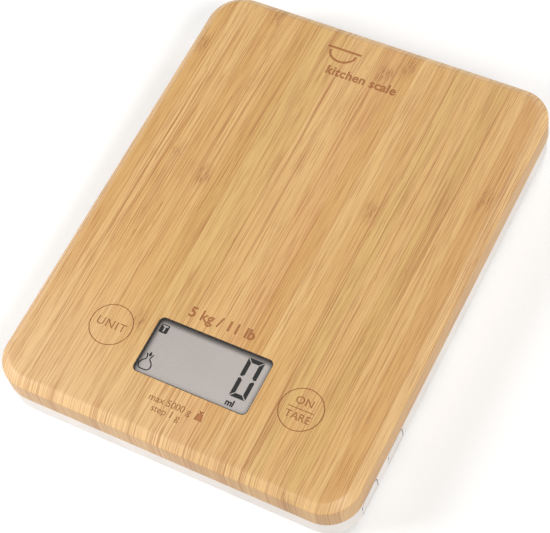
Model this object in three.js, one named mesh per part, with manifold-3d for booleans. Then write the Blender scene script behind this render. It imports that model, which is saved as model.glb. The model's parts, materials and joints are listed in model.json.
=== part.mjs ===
// Kitchen scale: a bamboo platform fixed on a shallow moulded base, with a touch display in the
// platform and four load cells in the base that carry everything on four feet.
// Millimetres, +Z up, +X to the user's right, +Y away from the user. The origin is under the middle
// of the scale, on the surface that its feet stand on.
import * as THREE from "three";
import { mergeVertices } from "three/addons/utils/BufferGeometryUtils.js";
import Module from "manifold-3d";

const wasm = await Module();
wasm.setup();

// Clearances.
const seatGap = 0.3; // between two pieces that rest on each other
const lensGap = 0.2; // round the lens in its opening
const screwGap = 0.3; // round a screw's shank in any hole
const coverGap = 0.4; // round a port cover in its pocket
const footGap = 0.8; // round a foot in the hole of the base
const boardGap = 1.5; // round the main board in the platform's pocket

// Platform.
const platformWidth = 170;
const platformDepth = 220;
const platformThick = 15.3;
const platformCornerR = 16;
const chamferWidth = 4.1;
const chamferHeight = 3.4;
const edgeBreak = 0.5; // small chamfer round the underside
const pocketSkin = 4.8; // bamboo left above the pocket
const touchSkin = 2.5; // bamboo left above each touch well
const touchWellR = 6.5;

// Touch rings and window, measured from the platform's front edge and its middle line.
const displayLine = 39.5; // front edge to the middle of the rings and the window
const touchOffset = 19.3; // window's side to the middle of a ring
const ringR = 9.7;
const ringWidth = 0.7;
const ringDepth = 0.25;
const windowWidth = 54.8;
const windowDepth = 27.4;
const windowCornerR = 2.5;
const lensThick = 1.5;
const lensSink = 0.1; // lens top below the platform top

// Base.
const baseHeight = 11.7;
const baseInset = 0.6; // base wall behind the platform's side
const baseWall = 2.2;
const baseFloor = 2;
const baseRound = 2; // radius of the lower outer edge
const groundGap = 2; // underside of the base above the table

// Feet and load cells.
const footR = 9.5;
const footLip = 2; // flange that keeps the foot in its hole
const footFlangeThick = 1.2;
const footBossR = 3.5;
const footLift = 0.4; // foot's flange above the floor, more than the cell bends at full load
const padR = 8.6;
const padThick = 1.6;
const padEdge = 0.4;
const cellMargin = 3.5; // cell plate beyond the foot's flange
const cellWallGap = 1.5; // clamp to the front or back wall
const cellPortGap = 2.9; // cell plate to the port board
const cellThick = 1.2;
const cellCornerR = 2;
const tongueWidth = 12;
const tongueLength = 19;
const tongueSlot = 3;
const cellRest = 2.3; // height of the rests under the cell
const restSize = 5;
const gaugeLength = 8;
const gaugeWidth = 6;
const gaugeHeight = 1.8;
const gaugeBevel = 0.6;
const clampThick = 1.6;
const clampRim = 5;
const clampEarR = 3.2;
const clampBossR = 3;
const clampBossGap = 0.5; // boss to the cell plate

// Screws: shank radius, head radius, head height.
const clampScrew = { shankR: 1.2, headR: 2.5, headHeight: 1.5, length: 4.8 };
const caseScrew = { shankR: 1.6, headR: 3.2, headHeight: 2.4, length: 16 };
const frameScrew = { shankR: 1.1, headR: 2.4, headHeight: 1.6, length: 5 };
const boardScrew = { shankR: 0.9, headR: 2.1, headHeight: 1.5, length: 4.6 };
const driveR = 0.9; // recess for the driver, in every head
const driveDepth = 0.6;
const caseBossR = 4.4;
const caseHeadSeat = 4; // depth of the counterbore from the underside
const caseScrewInsetX = 11; // side screws, from the platform's sides
const caseScrewInsetY = 65; // side screws, from the platform's front and back edges
const caseScrewEndInset = 9.5; // front and rear screws, from the platform's edges
const pilotExtra = 0.8; // hole deeper than the screw

// Display and main board.
const frameWall = 1;
const frameFlangeSide = 10.6; // flange beyond the window, left and right
const frameFlangeEnd = 8.3; // flange beyond the window, front and back
const frameFlangeThick = 2;
const frameLegR = 2.6;
const frameLegSide = 5.6; // window's side to a leg
const frameLegEnd = 3.8; // window's front or back edge to a leg
const frameScrewSide = 6.1; // window's side to a frame screw
const frameLedge = 1.8; // ledge that the panel rests on
const lcdThick = 2;
const lcdBelowLens = 0.7;
const stripThick = 2;
const stripEndGap = 2.8; // panel's end to the strip's end
const boardEnd = 11.3; // board beyond the middle of a ring
const boardBack = 1; // flange beyond the board, front and back
const boardThick = 1.6;
const boardLegHeight = 4.4; // board to flange
const chipR = 6;
const chipHeight = 1.3;
const chipEdge = 0.4;
const chipX = -26;
const capacitorR = 4;
const capacitorLength = 20;
const springR = 4;
const springWireR = 0.35;
const springTurns = 4;
const endRise = 0.4; // slope left in the spring's end turns, so that the wire never meets itself

// Ports in the right side wall.
const usbFromFront = 22.3;
const portPitch = 24.5;
const pocketWidth = 14.5;
const pocketFloor = 1.4; // pocket's lower edge above the base's underside
const pocketRoof = 0.9; // wall left above the pocket
const pocketTopR = 3;
const pocketLowR = 1.2;
const pocketSink = 1.3;
const coverThick = 0.9;
const coverBackGap = 0.25;
const hingeRise = 0.7; // hinge line above the pocket's lower edge
const coverFoot = 0.2; // cover reaching below its hinge line
const plugDepth = 1.1;
const plugWidth = 7.4;
const plugHeight = 1.6;
const mouthWidth = 9.6;
const mouthHeight = 3.8;
const socketWidth = 8.9;
const socketHeight = 3.2;
const socketDepth = 7.3;
const socketShell = 0.35;
const socketCavity = 6;
const tongueThick = 0.7;
const portBoardThick = 1.2;
const portBoardWidth = 8;
const stakeR = 1;
const stakeProud = 0.4;
const wireR = 0.9;

// How finely round things are cut into flats.
const arcSteps = 6; // in each large corner
const smallArcSteps = 3; // in each small corner
const wideSides = 20; // round feet, wells and rings
const smallSides = 10; // round screws, bosses and holes

// Places and sizes that follow from the ones above.
const touchX = windowWidth / 2 + touchOffset;
const frameFlangeWidth = windowWidth + 2 * frameFlangeSide;
const frameFlangeDepth = windowDepth + 2 * frameFlangeEnd;
const frameLegX = windowWidth / 2 + frameLegSide;
const frameLegY = windowDepth / 2 + frameLegEnd;
const frameScrewX = windowWidth / 2 + frameScrewSide;
const boardWidth = 2 * (touchX + boardEnd);
const boardDepth = frameFlangeDepth - 2 * boardBack;
const footFlangeR = footR + footLip;
const cellSize = 2 * (footFlangeR + cellMargin);
const clampOpening = cellSize - 2 * clampRim;
const clampScrewY = cellSize / 2 + clampBossGap + clampBossR;
const wallLine = baseInset + baseWall; // platform's side to the base's inner wall
const footX = platformWidth / 2 - wallLine - seatGap - portBoardWidth - cellPortGap - cellSize / 2;
const footY = platformDepth / 2 - wallLine - cellWallGap - clampEarR - clampScrewY;
const caseScrewX = platformWidth / 2 - caseScrewInsetX;
const caseScrewY = platformDepth / 2 - caseScrewInsetY;
const caseScrewEndY = platformDepth / 2 - caseScrewEndInset;
const pocketHeight = baseHeight - pocketFloor - pocketRoof;
const baseTop = groundGap + baseHeight;
const floorTop = groundGap + baseFloor;
const platformBottom = baseTop + seatGap;
const platformTop = platformBottom + platformThick;
const pocketTop = platformTop - pocketSkin;
const displayY = displayLine - platformDepth / 2;
const lensTop = platformTop - lensSink;
const lensBottom = lensTop - lensThick;
const flangeTop = pocketTop - seatGap;
const flangeBottom = flangeTop - frameFlangeThick;
const lcdTop = lensBottom - lcdBelowLens;
const lcdBottom = lcdTop - lcdThick;
const boardTop = flangeBottom - boardLegHeight - seatGap;
const boardBottom = boardTop - boardThick;
const cellBottom = floorTop + cellRest + seatGap;
const cellTop = cellBottom + cellThick;
const clampBottom = cellTop + seatGap;
const clampTop = clampBottom + clampThick;
const footBottom = padThick + seatGap;
const baseOuterX = platformWidth / 2 - baseInset;
const baseInnerX = baseOuterX - baseWall;
const pocketLow = groundGap + pocketFloor;
const pocketMiddle = pocketLow + pocketHeight / 2;
const hingeZ = pocketLow + hingeRise;
const coverOuterX = baseOuterX - pocketSink + coverBackGap + coverThick;
const portBoardTop = pocketMiddle - socketHeight / 2 - seatGap;
const portBoardBottom = portBoardTop - portBoardThick;
const socketFrontX = baseInnerX - seatGap;
const usbY = usbFromFront - platformDepth / 2;
const serviceY = usbY + portPitch;

const corners = [
  { name: "front_left", x: -footX, y: -footY },
  { name: "front_right", x: footX, y: -footY },
  { name: "rear_left", x: -footX, y: footY },
  { name: "rear_right", x: footX, y: footY },
];
const caseScrews = [
  { name: "left_front", x: -caseScrewX, y: -caseScrewY },
  { name: "left_rear", x: -caseScrewX, y: caseScrewY },
  { name: "right_front", x: caseScrewX, y: -caseScrewY },
  { name: "right_rear", x: caseScrewX, y: caseScrewY },
  { name: "front", x: 0, y: -caseScrewEndY },
  { name: "rear", x: 0, y: caseScrewEndY },
];
const boardScrews = [
  { name: "left", x: -frameLegX, y: displayY - frameLegY },
  { name: "right", x: frameLegX, y: displayY + frameLegY },
];

const bamboo = new THREE.MeshStandardMaterial({ color: 0xd9b27c, roughness: 0.55 });
const whitePlastic = new THREE.MeshStandardMaterial({ color: 0xf1ebe6, roughness: 0.5 });
const greyPlastic = new THREE.MeshStandardMaterial({ color: 0x3a3a3c, roughness: 0.6 });
const silicone = new THREE.MeshStandardMaterial({ color: 0xf4f2ee, roughness: 0.8 });
const rubber = new THREE.MeshStandardMaterial({ color: 0xc9c9c6, roughness: 0.9 });
const lensGlass = new THREE.MeshStandardMaterial({ color: 0xdde2e2, roughness: 0.08 });
const lcdGrey = new THREE.MeshStandardMaterial({ color: 0xb8b0aa, roughness: 0.4 });
const boardGreen = new THREE.MeshStandardMaterial({ color: 0x2f6a45, roughness: 0.6 });
const chipBlack = new THREE.MeshStandardMaterial({ color: 0x17171a, roughness: 0.45 });
const steel = new THREE.MeshStandardMaterial({ color: 0xb9bcc0, roughness: 0.35, metalness: 0.9 });
const springSteel = new THREE.MeshStandardMaterial({ color: 0xd5c9a0, roughness: 0.3, metalness: 0.9 });
const sleeveWhite = new THREE.MeshStandardMaterial({ color: 0xe4e2dc, roughness: 0.6 });
const sleeveBlue = new THREE.MeshStandardMaterial({ color: 0x2c3e66, roughness: 0.4 });

// A closed geometry as a solid that can be joined and cut.
function toSolid(geometry) {
  const bare = geometry.clone();
  bare.deleteAttribute("normal");
  bare.deleteAttribute("uv");
  const merged = mergeVertices(bare, 1e-4);
  const vertProperties = new Float32Array(merged.attributes.position.array);
  const triVerts = new Uint32Array(merged.index.array);
  return new wasm.Manifold(new wasm.Mesh({ numProp: 3, vertProperties, triVerts }));
}

function toGeometry(solid) {
  const cut = solid.getMesh();
  const geometry = new THREE.BufferGeometry();
  geometry.setAttribute("position", new THREE.BufferAttribute(cut.vertProperties, 3));
  geometry.setIndex(new THREE.BufferAttribute(cut.triVerts, 1));
  geometry.computeVertexNormals();
  return geometry;
}

function roundedRect(width, depth, radius, x = 0, y = 0) {
  const right = width / 2 - radius;
  const back = depth / 2 - radius;
  const shape = new THREE.Shape();
  shape.absarc(x + right, y + back, radius, 0, Math.PI / 2);
  shape.absarc(x - right, y + back, radius, Math.PI / 2, Math.PI);
  shape.absarc(x - right, y - back, radius, Math.PI, Math.PI * 1.5);
  shape.absarc(x + right, y - back, radius, Math.PI * 1.5, Math.PI * 2);
  return shape;
}

// A flat shape made solid between two heights.
function slab(shape, bottom, top, curveSegments = smallArcSteps) {
  const geometry = new THREE.ExtrudeGeometry(shape, {
    depth: top - bottom,
    bevelEnabled: false,
    curveSegments,
  });
  geometry.translate(0, 0, bottom);
  return geometry;
}

function block(width, depth, height, x, y, bottom) {
  const geometry = new THREE.BoxGeometry(width, depth, height);
  geometry.translate(x, y, bottom + height / 2);
  return geometry;
}

// An upright cylinder between two heights.
function post(radius, bottom, top, x = 0, y = 0, sides = smallSides) {
  const geometry = new THREE.CylinderGeometry(radius, radius, top - bottom, sides);
  geometry.rotateX(Math.PI / 2);
  geometry.translate(x, y, (bottom + top) / 2);
  return geometry;
}

// A turned solid about the vertical through its own origin, from [radius, height] pairs.
function turned(profile, sides = wideSides) {
  const points = profile.map(([radius, height]) => new THREE.Vector2(radius, height));
  const geometry = new THREE.LatheGeometry(points, sides);
  geometry.rotateX(Math.PI / 2);
  return geometry;
}

// A block with round corners whose outline steps in or out from level to level.
function steppedBlock(width, depth, cornerR, levels) {
  const perRing = 4 * (arcSteps + 1);
  const positions = [];
  for (const { inset, z } of levels) {
    for (let corner = 0; corner < 4; corner += 1) {
      const signX = corner === 0 || corner === 3 ? 1 : -1;
      const signY = corner < 2 ? 1 : -1;
      for (let step = 0; step <= arcSteps; step += 1) {
        const turn = (corner + step / arcSteps) * (Math.PI / 2);
        const reach = cornerR - inset;
        positions.push(signX * (width / 2 - cornerR) + reach * Math.cos(turn));
        positions.push(signY * (depth / 2 - cornerR) + reach * Math.sin(turn));
        positions.push(z);
      }
    }
  }
  const index = [];
  const last = (levels.length - 1) * perRing;
  for (let level = 0; level < levels.length - 1; level += 1) {
    for (let i = 0; i < perRing; i += 1) {
      const a = level * perRing + i;
      const b = level * perRing + ((i + 1) % perRing);
      index.push(a, b, b + perRing, a, b + perRing, a + perRing);
    }
  }
  for (let i = 1; i < perRing - 1; i += 1) {
    index.push(0, i + 1, i);
    index.push(last, last + i, last + i + 1);
  }
  const geometry = new THREE.BufferGeometry();
  geometry.setAttribute("position", new THREE.Float32BufferAttribute(positions, 3));
  geometry.setIndex(index);
  return geometry;
}

function cutAll(solid, geometries) {
  return geometries.reduce((rest, geometry) => rest.subtract(toSolid(geometry)), solid);
}

function joinAll(solid, geometries) {
  return geometries.reduce((sum, geometry) => sum.add(toSolid(geometry)), solid);
}

// The shallow groove that marks a touch field.
function ringGroove(x) {
  const inner = ringR - ringWidth / 2;
  const outer = ringR + ringWidth / 2;
  const low = platformTop - ringDepth;
  const high = platformTop + 1;
  const profile = [[inner, low], [outer, low], [outer, high], [inner, high], [inner, low]];
  const groove = turned(profile, 2 * wideSides);
  groove.translate(x, displayY, 0);
  return groove;
}

function makePlatform() {
  const blank = steppedBlock(platformWidth, platformDepth, platformCornerR, [
    { inset: edgeBreak, z: platformBottom },
    { inset: 0, z: platformBottom + edgeBreak },
    { inset: 0, z: platformTop - chamferHeight },
    { inset: chamferWidth, z: platformTop },
  ]);
  const window = roundedRect(windowWidth, windowDepth, windowCornerR, 0, displayY);
  const bay = roundedRect(boardWidth + 2 * boardGap, boardDepth + 2 * boardGap, 3, 0, displayY);
  const cuts = [
    slab(window, platformBottom - 1, platformTop + 1),
    slab(bay, platformBottom - 1, pocketTop),
    ringGroove(-touchX),
    ringGroove(touchX),
  ];
  for (const x of [-touchX, touchX]) {
    cuts.push(post(touchWellR, pocketTop - 1, platformTop - touchSkin, x, displayY, wideSides));
  }
  const caseTip = groundGap + caseHeadSeat + caseScrew.length;
  for (const { x, y } of caseScrews) {
    cuts.push(post(caseScrew.shankR + screwGap, platformBottom - 1, caseTip + pilotExtra, x, y));
  }
  const frameTip = flangeBottom - seatGap + frameScrew.length;
  for (const x of [-frameScrewX, frameScrewX]) {
    cuts.push(post(frameScrew.shankR + screwGap, pocketTop - 1, frameTip + pilotExtra / 2, x, displayY));
  }
  return toGeometry(cutAll(toSolid(blank), cuts));
}

// Outline of a port pocket or its cover, seen from outside, with its lower edge at height zero.
function portOutline(width, height, topR, lowR) {
  const side = width / 2;
  const shape = new THREE.Shape();
  shape.moveTo(-side + lowR, 0);
  shape.lineTo(side - lowR, 0);
  shape.absarc(side - lowR, lowR, lowR, -Math.PI / 2, 0);
  shape.lineTo(side, height - topR);
  shape.absarc(side - topR, height - topR, topR, 0, Math.PI / 2);
  shape.lineTo(-side + topR, height);
  shape.absarc(-side + topR, height - topR, topR, Math.PI / 2, Math.PI);
  shape.lineTo(-side, lowR);
  shape.absarc(-side + lowR, lowR, lowR, Math.PI, Math.PI * 1.5);
  return shape;
}

// A shape drawn in the wall's own plane, made solid from innerX outwards.
function wallPiece(shape, innerX, thick, y, z) {
  const geometry = slab(shape, 0, thick);
  geometry.rotateX(Math.PI / 2);
  geometry.rotateZ(Math.PI / 2);
  geometry.translate(innerX, y, z);
  return geometry;
}

function portCuts(y) {
  const pocket = portOutline(pocketWidth, pocketHeight, pocketTopR, pocketLowR);
  const mouth = roundedRect(mouthWidth, mouthHeight, mouthHeight / 2 - 0.1);
  return [
    wallPiece(pocket, baseOuterX - pocketSink, pocketSink + 1, y, pocketLow),
    wallPiece(mouth, baseInnerX - 1, baseWall + 1, y, pocketMiddle),
  ];
}

function makeBase() {
  const roundSteps = 3;
  const levels = [];
  for (let i = 0; i <= roundSteps; i += 1) {
    const turn = (i / roundSteps) * (Math.PI / 2);
    levels.push({
      inset: baseInset + baseRound * (1 - Math.sin(turn)),
      z: groundGap + baseRound * (1 - Math.cos(turn)),
    });
  }
  levels.push({ inset: baseInset, z: baseTop });
  const shell = toSolid(steppedBlock(platformWidth, platformDepth, platformCornerR, levels));
  const inside = steppedBlock(platformWidth, platformDepth, platformCornerR, [
    { inset: baseInset + baseWall, z: floorTop },
    { inset: baseInset + baseWall, z: baseTop + 1 },
  ]);
  const hollow = shell.subtract(toSolid(inside));

  const joins = [];
  const cuts = [...portCuts(usbY), ...portCuts(serviceY)];
  const rootZ = floorTop - baseFloor / 2;
  for (const { x, y } of caseScrews) {
    const headSeat = groundGap + caseHeadSeat;
    joins.push(post(caseBossR, rootZ, baseTop, x, y));
    cuts.push(post(caseScrew.headR + screwGap, groundGap - 1, headSeat, x, y));
    cuts.push(post(caseScrew.shankR + screwGap, headSeat - 1, baseTop + 1, x, y));
  }
  const restOffset = (cellSize - restSize) / 2;
  for (const { x, y } of corners) {
    for (const signX of [-1, 1]) {
      for (const signY of [-1, 1]) {
        const restX = x + signX * restOffset;
        const restY = y + signY * restOffset;
        joins.push(block(restSize, restSize, floorTop + cellRest - rootZ, restX, restY, rootZ));
      }
    }
    for (const side of [-1, 1]) {
      const bossY = y + side * clampScrewY;
      const tip = clampTop + seatGap - clampScrew.length;
      joins.push(post(clampBossR, rootZ, clampBottom - seatGap, x, bossY));
      cuts.push(post(clampScrew.shankR + screwGap, tip - pilotExtra / 2, clampTop, x, bossY));
    }
    cuts.push(post(footR + footGap, groundGap - 1, floorTop + 1, x, y, wideSides));
  }
  const boardRestZ = portBoardBottom - seatGap;
  for (const y of stakeLine()) {
    joins.push(post(stakeR + 1, rootZ, boardRestZ, portBoardX(), y));
    joins.push(post(stakeR, rootZ, portBoardTop + stakeProud, portBoardX(), y));
  }
  return toGeometry(cutAll(joinAll(hollow, joins), cuts));
}

function portBoardX() {
  return socketFrontX - portBoardWidth / 2;
}

// The port board is staked between its two sockets and beyond the second.
function stakeLine() {
  const middle = (usbY + serviceY) / 2;
  return [middle - 3.4, serviceY + portPitch / 2 - 5];
}

function makeLens() {
  const outline = roundedRect(windowWidth - 2 * lensGap, windowDepth - 2 * lensGap, windowCornerR - lensGap);
  const lens = slab(outline, lensBottom, lensTop);
  lens.translate(0, displayY, 0);
  return lens;
}

// Frame that holds the panel in the window: a rim in the opening, a flange under the platform and four legs.
function makeFrame() {
  const rimWidth = windowWidth - 2 * seatGap;
  const rimDepth = windowDepth - 2 * seatGap;
  const flange = slab(roundedRect(frameFlangeWidth, frameFlangeDepth, 3), flangeBottom, flangeTop);
  const rimShape = roundedRect(rimWidth, rimDepth, windowCornerR - seatGap);
  const rim = slab(rimShape, flangeTop - 1, lensBottom - seatGap);
  const panelWell = roundedRect(rimWidth - 2 * frameWall, rimDepth - 2 * frameWall, 0.5);
  const through = roundedRect(
    rimWidth - 2 * frameWall - 2 * frameLedge,
    rimDepth - 2 * frameWall - 2 * frameLedge,
    1,
  );
  const joins = [rim];
  const cuts = [
    slab(panelWell, lcdBottom - seatGap, platformTop + 1),
    slab(through, flangeBottom - 1, platformTop + 1),
  ];
  for (const signX of [-1, 1]) {
    for (const signY of [-1, 1]) {
      const legX = signX * frameLegX;
      const legY = signY * frameLegY;
      joins.push(post(frameLegR, boardTop + seatGap, flangeBottom + 1, legX, legY));
    }
    cuts.push(post(frameScrew.shankR + screwGap, flangeBottom - 1, flangeTop + 1, signX * frameScrewX, 0));
  }
  const tip = boardBottom - seatGap + boardScrew.length;
  for (const { x, y } of boardScrews) {
    cuts.push(post(boardScrew.shankR + screwGap, boardBottom, tip + pilotExtra, x, y - displayY));
  }
  const frame = toGeometry(cutAll(joinAll(toSolid(flange), joins), cuts));
  frame.translate(0, displayY, 0);
  return frame;
}

function panelSize() {
  const shrink = 2 * (seatGap + frameWall + seatGap);
  return { width: windowWidth - shrink, depth: windowDepth - shrink };
}

function makePanel() {
  const { width, depth } = panelSize();
  return block(width, depth, lcdThick, 0, displayY, lcdBottom);
}

// Rubber strip that carries the contacts from the board up to the panel's front edge.
function makeStrip() {
  const y = displayY - panelSize().depth / 2 + frameLedge + stripThick / 2 + seatGap;
  const length = panelSize().width - 2 * stripEndGap;
  return block(length, stripThick, lcdBottom - boardTop - 2 * seatGap, 0, y, boardTop + seatGap);
}

function makeMainBoard() {
  const board = slab(roundedRect(boardWidth, boardDepth, 1.5), boardBottom, boardTop);
  board.translate(0, displayY, 0);
  const cuts = boardScrews.map(({ x, y }) => (
    post(boardScrew.shankR + screwGap, boardBottom - 1, boardTop + 1, x, y)
  ));
  return toGeometry(cutAll(toSolid(board), cuts));
}

function makeChip() {
  const top = boardBottom - seatGap;
  const low = top - chipHeight;
  const chip = turned([[0, low], [chipR * 0.7, low], [chipR, top - chipEdge], [chipR, top], [0, top]]);
  chip.translate(chipX, displayY, 0);
  return chip;
}

function makeCapacitor() {
  const half = capacitorLength / 2;
  const can = turned([
    [0, -half], [capacitorR - 0.5, -half], [capacitorR, 0.5 - half], [capacitorR, half - 2.6],
    [capacitorR - 0.4, half - 2], [capacitorR, half - 1.4], [capacitorR, half], [0, half],
  ]);
  can.rotateY(Math.PI / 2);
  can.translate(0, displayY, boardBottom - seatGap - capacitorR);
  return can;
}

// A rising coil whose first and last turns lie almost flat.
class CoilCurve extends THREE.Curve {
  constructor(radius, bottom, top, turns) {
    super();
    Object.assign(this, { radius, bottom, top, turns });
  }

  getPoint(t, target = new THREE.Vector3()) {
    const turn = t * this.turns * Math.PI * 2;
    const rise = THREE.MathUtils.smoothstep(t, 0.12, 0.88);
    const z = this.bottom + (this.top - this.bottom) * rise + endRise * (2 * t - 1);
    return target.set(this.radius * Math.cos(turn), this.radius * Math.sin(turn), z);
  }
}

function circle(radius, sides) {
  const shape = new THREE.Shape();
  for (let i = 0; i < sides; i += 1) {
    const turn = (i / sides) * Math.PI * 2;
    const x = radius * Math.cos(turn);
    const y = radius * Math.sin(turn);
    if (i === 0) shape.moveTo(x, y);
    else shape.lineTo(x, y);
  }
  shape.closePath();
  return shape;
}

function makeTouchSpring() {
  const bottom = boardTop + seatGap + springWireR + endRise;
  const top = platformTop - touchSkin - seatGap - springWireR - endRise;
  const coil = new CoilCurve(springR, bottom, top, springTurns);
  return new THREE.ExtrudeGeometry(circle(springWireR, 6), {
    steps: springTurns * 12,
    extrudePath: coil,
    bevelEnabled: false,
  });
}

function screwHoleR(screw) {
  return screw.shankR + screwGap;
}

// A pan-head screw with its head at the bottom or on top; seat is where the head meets the work.
function makeScrew(screw, seat, headUp) {
  const sign = headUp ? 1 : -1;
  const headTop = seat + sign * screw.headHeight;
  const tip = seat - sign * screw.length;
  const profile = [
    [0, tip], [screw.shankR, tip], [screw.shankR, seat], [screw.headR, seat], [screw.headR, headTop],
    [driveR, headTop], [driveR * 0.6, headTop - sign * driveDepth], [0, headTop - sign * driveDepth],
  ];
  return turned(headUp ? profile : profile.reverse(), smallSides);
}

function makeFootCarrier() {
  const flangeLow = floorTop + footLift;
  const flangeHigh = flangeLow + footFlangeThick;
  const bossTop = cellBottom - seatGap;
  return turned([
    [0, footBottom], [footR - 0.4, footBottom], [footR, footBottom + 0.4], [footR, flangeLow],
    [footFlangeR, flangeLow], [footFlangeR, flangeHigh], [footBossR, flangeHigh],
    [footBossR, bossTop], [0, bossTop],
  ]);
}

function makeFootPad() {
  return turned([
    [0, 0], [padR - padEdge, 0], [padR, padEdge],
    [padR, padThick - padEdge], [padR - padEdge, padThick], [0, padThick],
  ]);
}

// Stamped load cell: a square plate with a tongue left standing inside a U-shaped slot.
function makeLoadCell() {
  const plate = roundedRect(cellSize, cellSize, cellCornerR);
  const innerX = tongueWidth / 2;
  const outerX = innerX + tongueSlot;
  const rootY = -tongueLength / 2;
  const tipY = tongueLength / 2;
  const slot = new THREE.Path();
  slot.moveTo(-outerX, rootY);
  slot.lineTo(-innerX, rootY);
  slot.lineTo(-innerX, tipY - tongueSlot);
  slot.lineTo(innerX, tipY - tongueSlot);
  slot.lineTo(innerX, rootY);
  slot.lineTo(outerX, rootY);
  slot.lineTo(outerX, tipY);
  slot.lineTo(-outerX, tipY);
  slot.closePath();
  plate.holes.push(slot);
  return slab(plate, cellBottom, cellTop);
}

// Blob of potting over the strain gauge, on the cell's tongue.
function makeGauge() {
  const inner = roundedRect(gaugeLength - 2 * gaugeBevel, gaugeWidth - 2 * gaugeBevel, 1);
  const blob = new THREE.ExtrudeGeometry(inner, {
    depth: gaugeHeight - 2 * gaugeBevel,
    bevelThickness: gaugeBevel,
    bevelSize: gaugeBevel,
    bevelSegments: 1,
    curveSegments: 2,
  });
  blob.translate(0, 0, cellTop + seatGap + gaugeBevel);
  return blob;
}

function makeClamp() {
  const ring = roundedRect(cellSize, cellSize, cellCornerR);
  ring.holes.push(roundedRect(clampOpening, clampOpening, 1.5));
  const armInner = clampOpening / 2 + clampRim / 2;
  const armY = (armInner + clampScrewY) / 2;
  const joins = [];
  const cuts = [];
  for (const side of [-1, 1]) {
    const earY = side * clampScrewY;
    joins.push(block(2 * clampEarR, clampScrewY - armInner, clampThick, 0, side * armY, clampBottom));
    joins.push(post(clampEarR, clampBottom, clampTop, 0, earY));
    cuts.push(post(screwHoleR(clampScrew), clampBottom - 1, clampTop + 1, 0, earY));
  }
  return toGeometry(cutAll(joinAll(toSolid(slab(ring, clampBottom, clampTop)), joins), cuts));
}

// Sleeved wires along a smooth route, which ends straight up under the main board.
function makeWires(points) {
  const route = new THREE.CatmullRomCurve3(points.map(([x, y, z]) => new THREE.Vector3(x, y, z)));
  const steps = Math.ceil(route.getLength() / 6);
  return new THREE.ExtrudeGeometry(circle(wireR, 6), { steps, extrudePath: route, bevelEnabled: false });
}

function cellRoute({ x, y }) {
  const side = Math.sign(x);
  const overGauge = cellTop + seatGap + gaugeHeight + seatGap + wireR;
  const onFloor = floorTop + seatGap + wireR + 0.2;
  const end = boardBottom - seatGap;
  const inner = Math.abs(x) - cellSize / 2;
  const start = [x - side * 2, y, overGauge];
  if (y < 0) {
    const riseX = Math.min(inner + 2, boardWidth / 2 - 5);
    const rise = end - overGauge;
    return [
      start,
      [side * (riseX + 4), y + 2, overGauge + rise * 0.15],
      [side * (riseX + 0.6), y + 4, overGauge + rise * 0.5],
      [side * riseX, y + 4.4, end - 1],
      [side * riseX, y + 4.4, end],
    ];
  }
  const lane = side * (inner - 7);
  const edge = displayY + boardDepth / 2;
  return [
    start,
    [side * (inner + 3), y, overGauge],
    [side * (inner - 1.6), y, overGauge - 0.6],
    [side * (inner - 4.8), y - 1.6, (overGauge + onFloor) / 2],
    [lane, y - 7, onFloor + 0.4],
    [lane, y - 16, onFloor],
    [lane, y / 2, onFloor],
    [lane, 0, onFloor],
    [lane, edge + 14, onFloor],
    [lane + side * 1.4, edge + 2, onFloor + 1],
    [lane + side * 3, edge - 5.5, (end + onFloor) / 2],
    [lane + side * 3.3, edge - 7, end - 1],
    [lane + side * 3.3, edge - 7, end],
  ];
}

function supplyRoute() {
  const middle = (usbY + serviceY) / 2 + 2.2;
  const x = portBoardX();
  const high = (clampTop + platformBottom) / 2;
  return [
    [x, middle, portBoardTop + seatGap],
    [x - 0.6, middle, portBoardTop + 3.4],
    [x - 5, middle + 0.6, high],
    [boardWidth / 2 + boardGap + 4, middle + 1, high],
    [boardWidth / 2 - 2.4, middle + 1.4, boardBottom - 2.6],
    [boardWidth / 2 - 3.2, middle + 1.4, boardBottom - seatGap - 1],
    [boardWidth / 2 - 3.2, middle + 1.4, boardBottom - seatGap],
  ];
}

function makePortBoard() {
  const front = usbY - pocketWidth / 2;
  const back = stakeLine()[1] + 3;
  const middle = (front + back) / 2;
  const board = block(portBoardWidth, back - front, portBoardThick, portBoardX(), middle, portBoardBottom);
  const cuts = stakeLine().map((y) => (
    post(stakeR + screwGap, portBoardBottom - 1, portBoardTop + 1, portBoardX(), y)
  ));
  return toGeometry(cutAll(toSolid(board), cuts));
}

// Charging socket: a thin shell open to the front, with the contact tongue standing in it.
function makeUsbSocket() {
  const round = socketHeight / 2 - 0.1;
  const outer = roundedRect(socketWidth, socketHeight, round);
  const innerWidth = socketWidth - 2 * socketShell;
  const inner = roundedRect(innerWidth, socketHeight - 2 * socketShell, round - socketShell);
  const backX = socketFrontX - socketDepth;
  const shell = toSolid(wallPiece(outer, backX, socketDepth, usbY, pocketMiddle));
  const cavity = toSolid(wallPiece(inner, socketFrontX - socketCavity, socketCavity + 1, usbY, pocketMiddle));
  const tongueX = socketFrontX - socketCavity - 0.5;
  const tongueReach = socketCavity - 0.6;
  const tongue = block(tongueReach, socketWidth - 2.6, tongueThick, 0, 0, -tongueThick / 2);
  tongue.translate(tongueX + tongueReach / 2, usbY, pocketMiddle);
  return toGeometry(shell.subtract(cavity).add(toSolid(tongue)));
}

// Four-pin socket that the maker sets the scale through.
function makeServiceSocket() {
  const housing = block(socketDepth, socketWidth - 1.4, socketHeight, 0, 0, -socketHeight / 2);
  housing.translate(socketFrontX - socketDepth / 2, serviceY, pocketMiddle);
  const cuts = [];
  for (let pin = 0; pin < 4; pin += 1) {
    const hole = block(socketCavity, 0.9, 0.9, 0, 0, -0.45);
    hole.translate(socketFrontX - socketCavity / 2 + 0.5, serviceY + (pin - 1.5) * 1.5, pocketMiddle);
    cuts.push(hole);
  }
  return toGeometry(cutAll(toSolid(housing), cuts));
}

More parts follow.
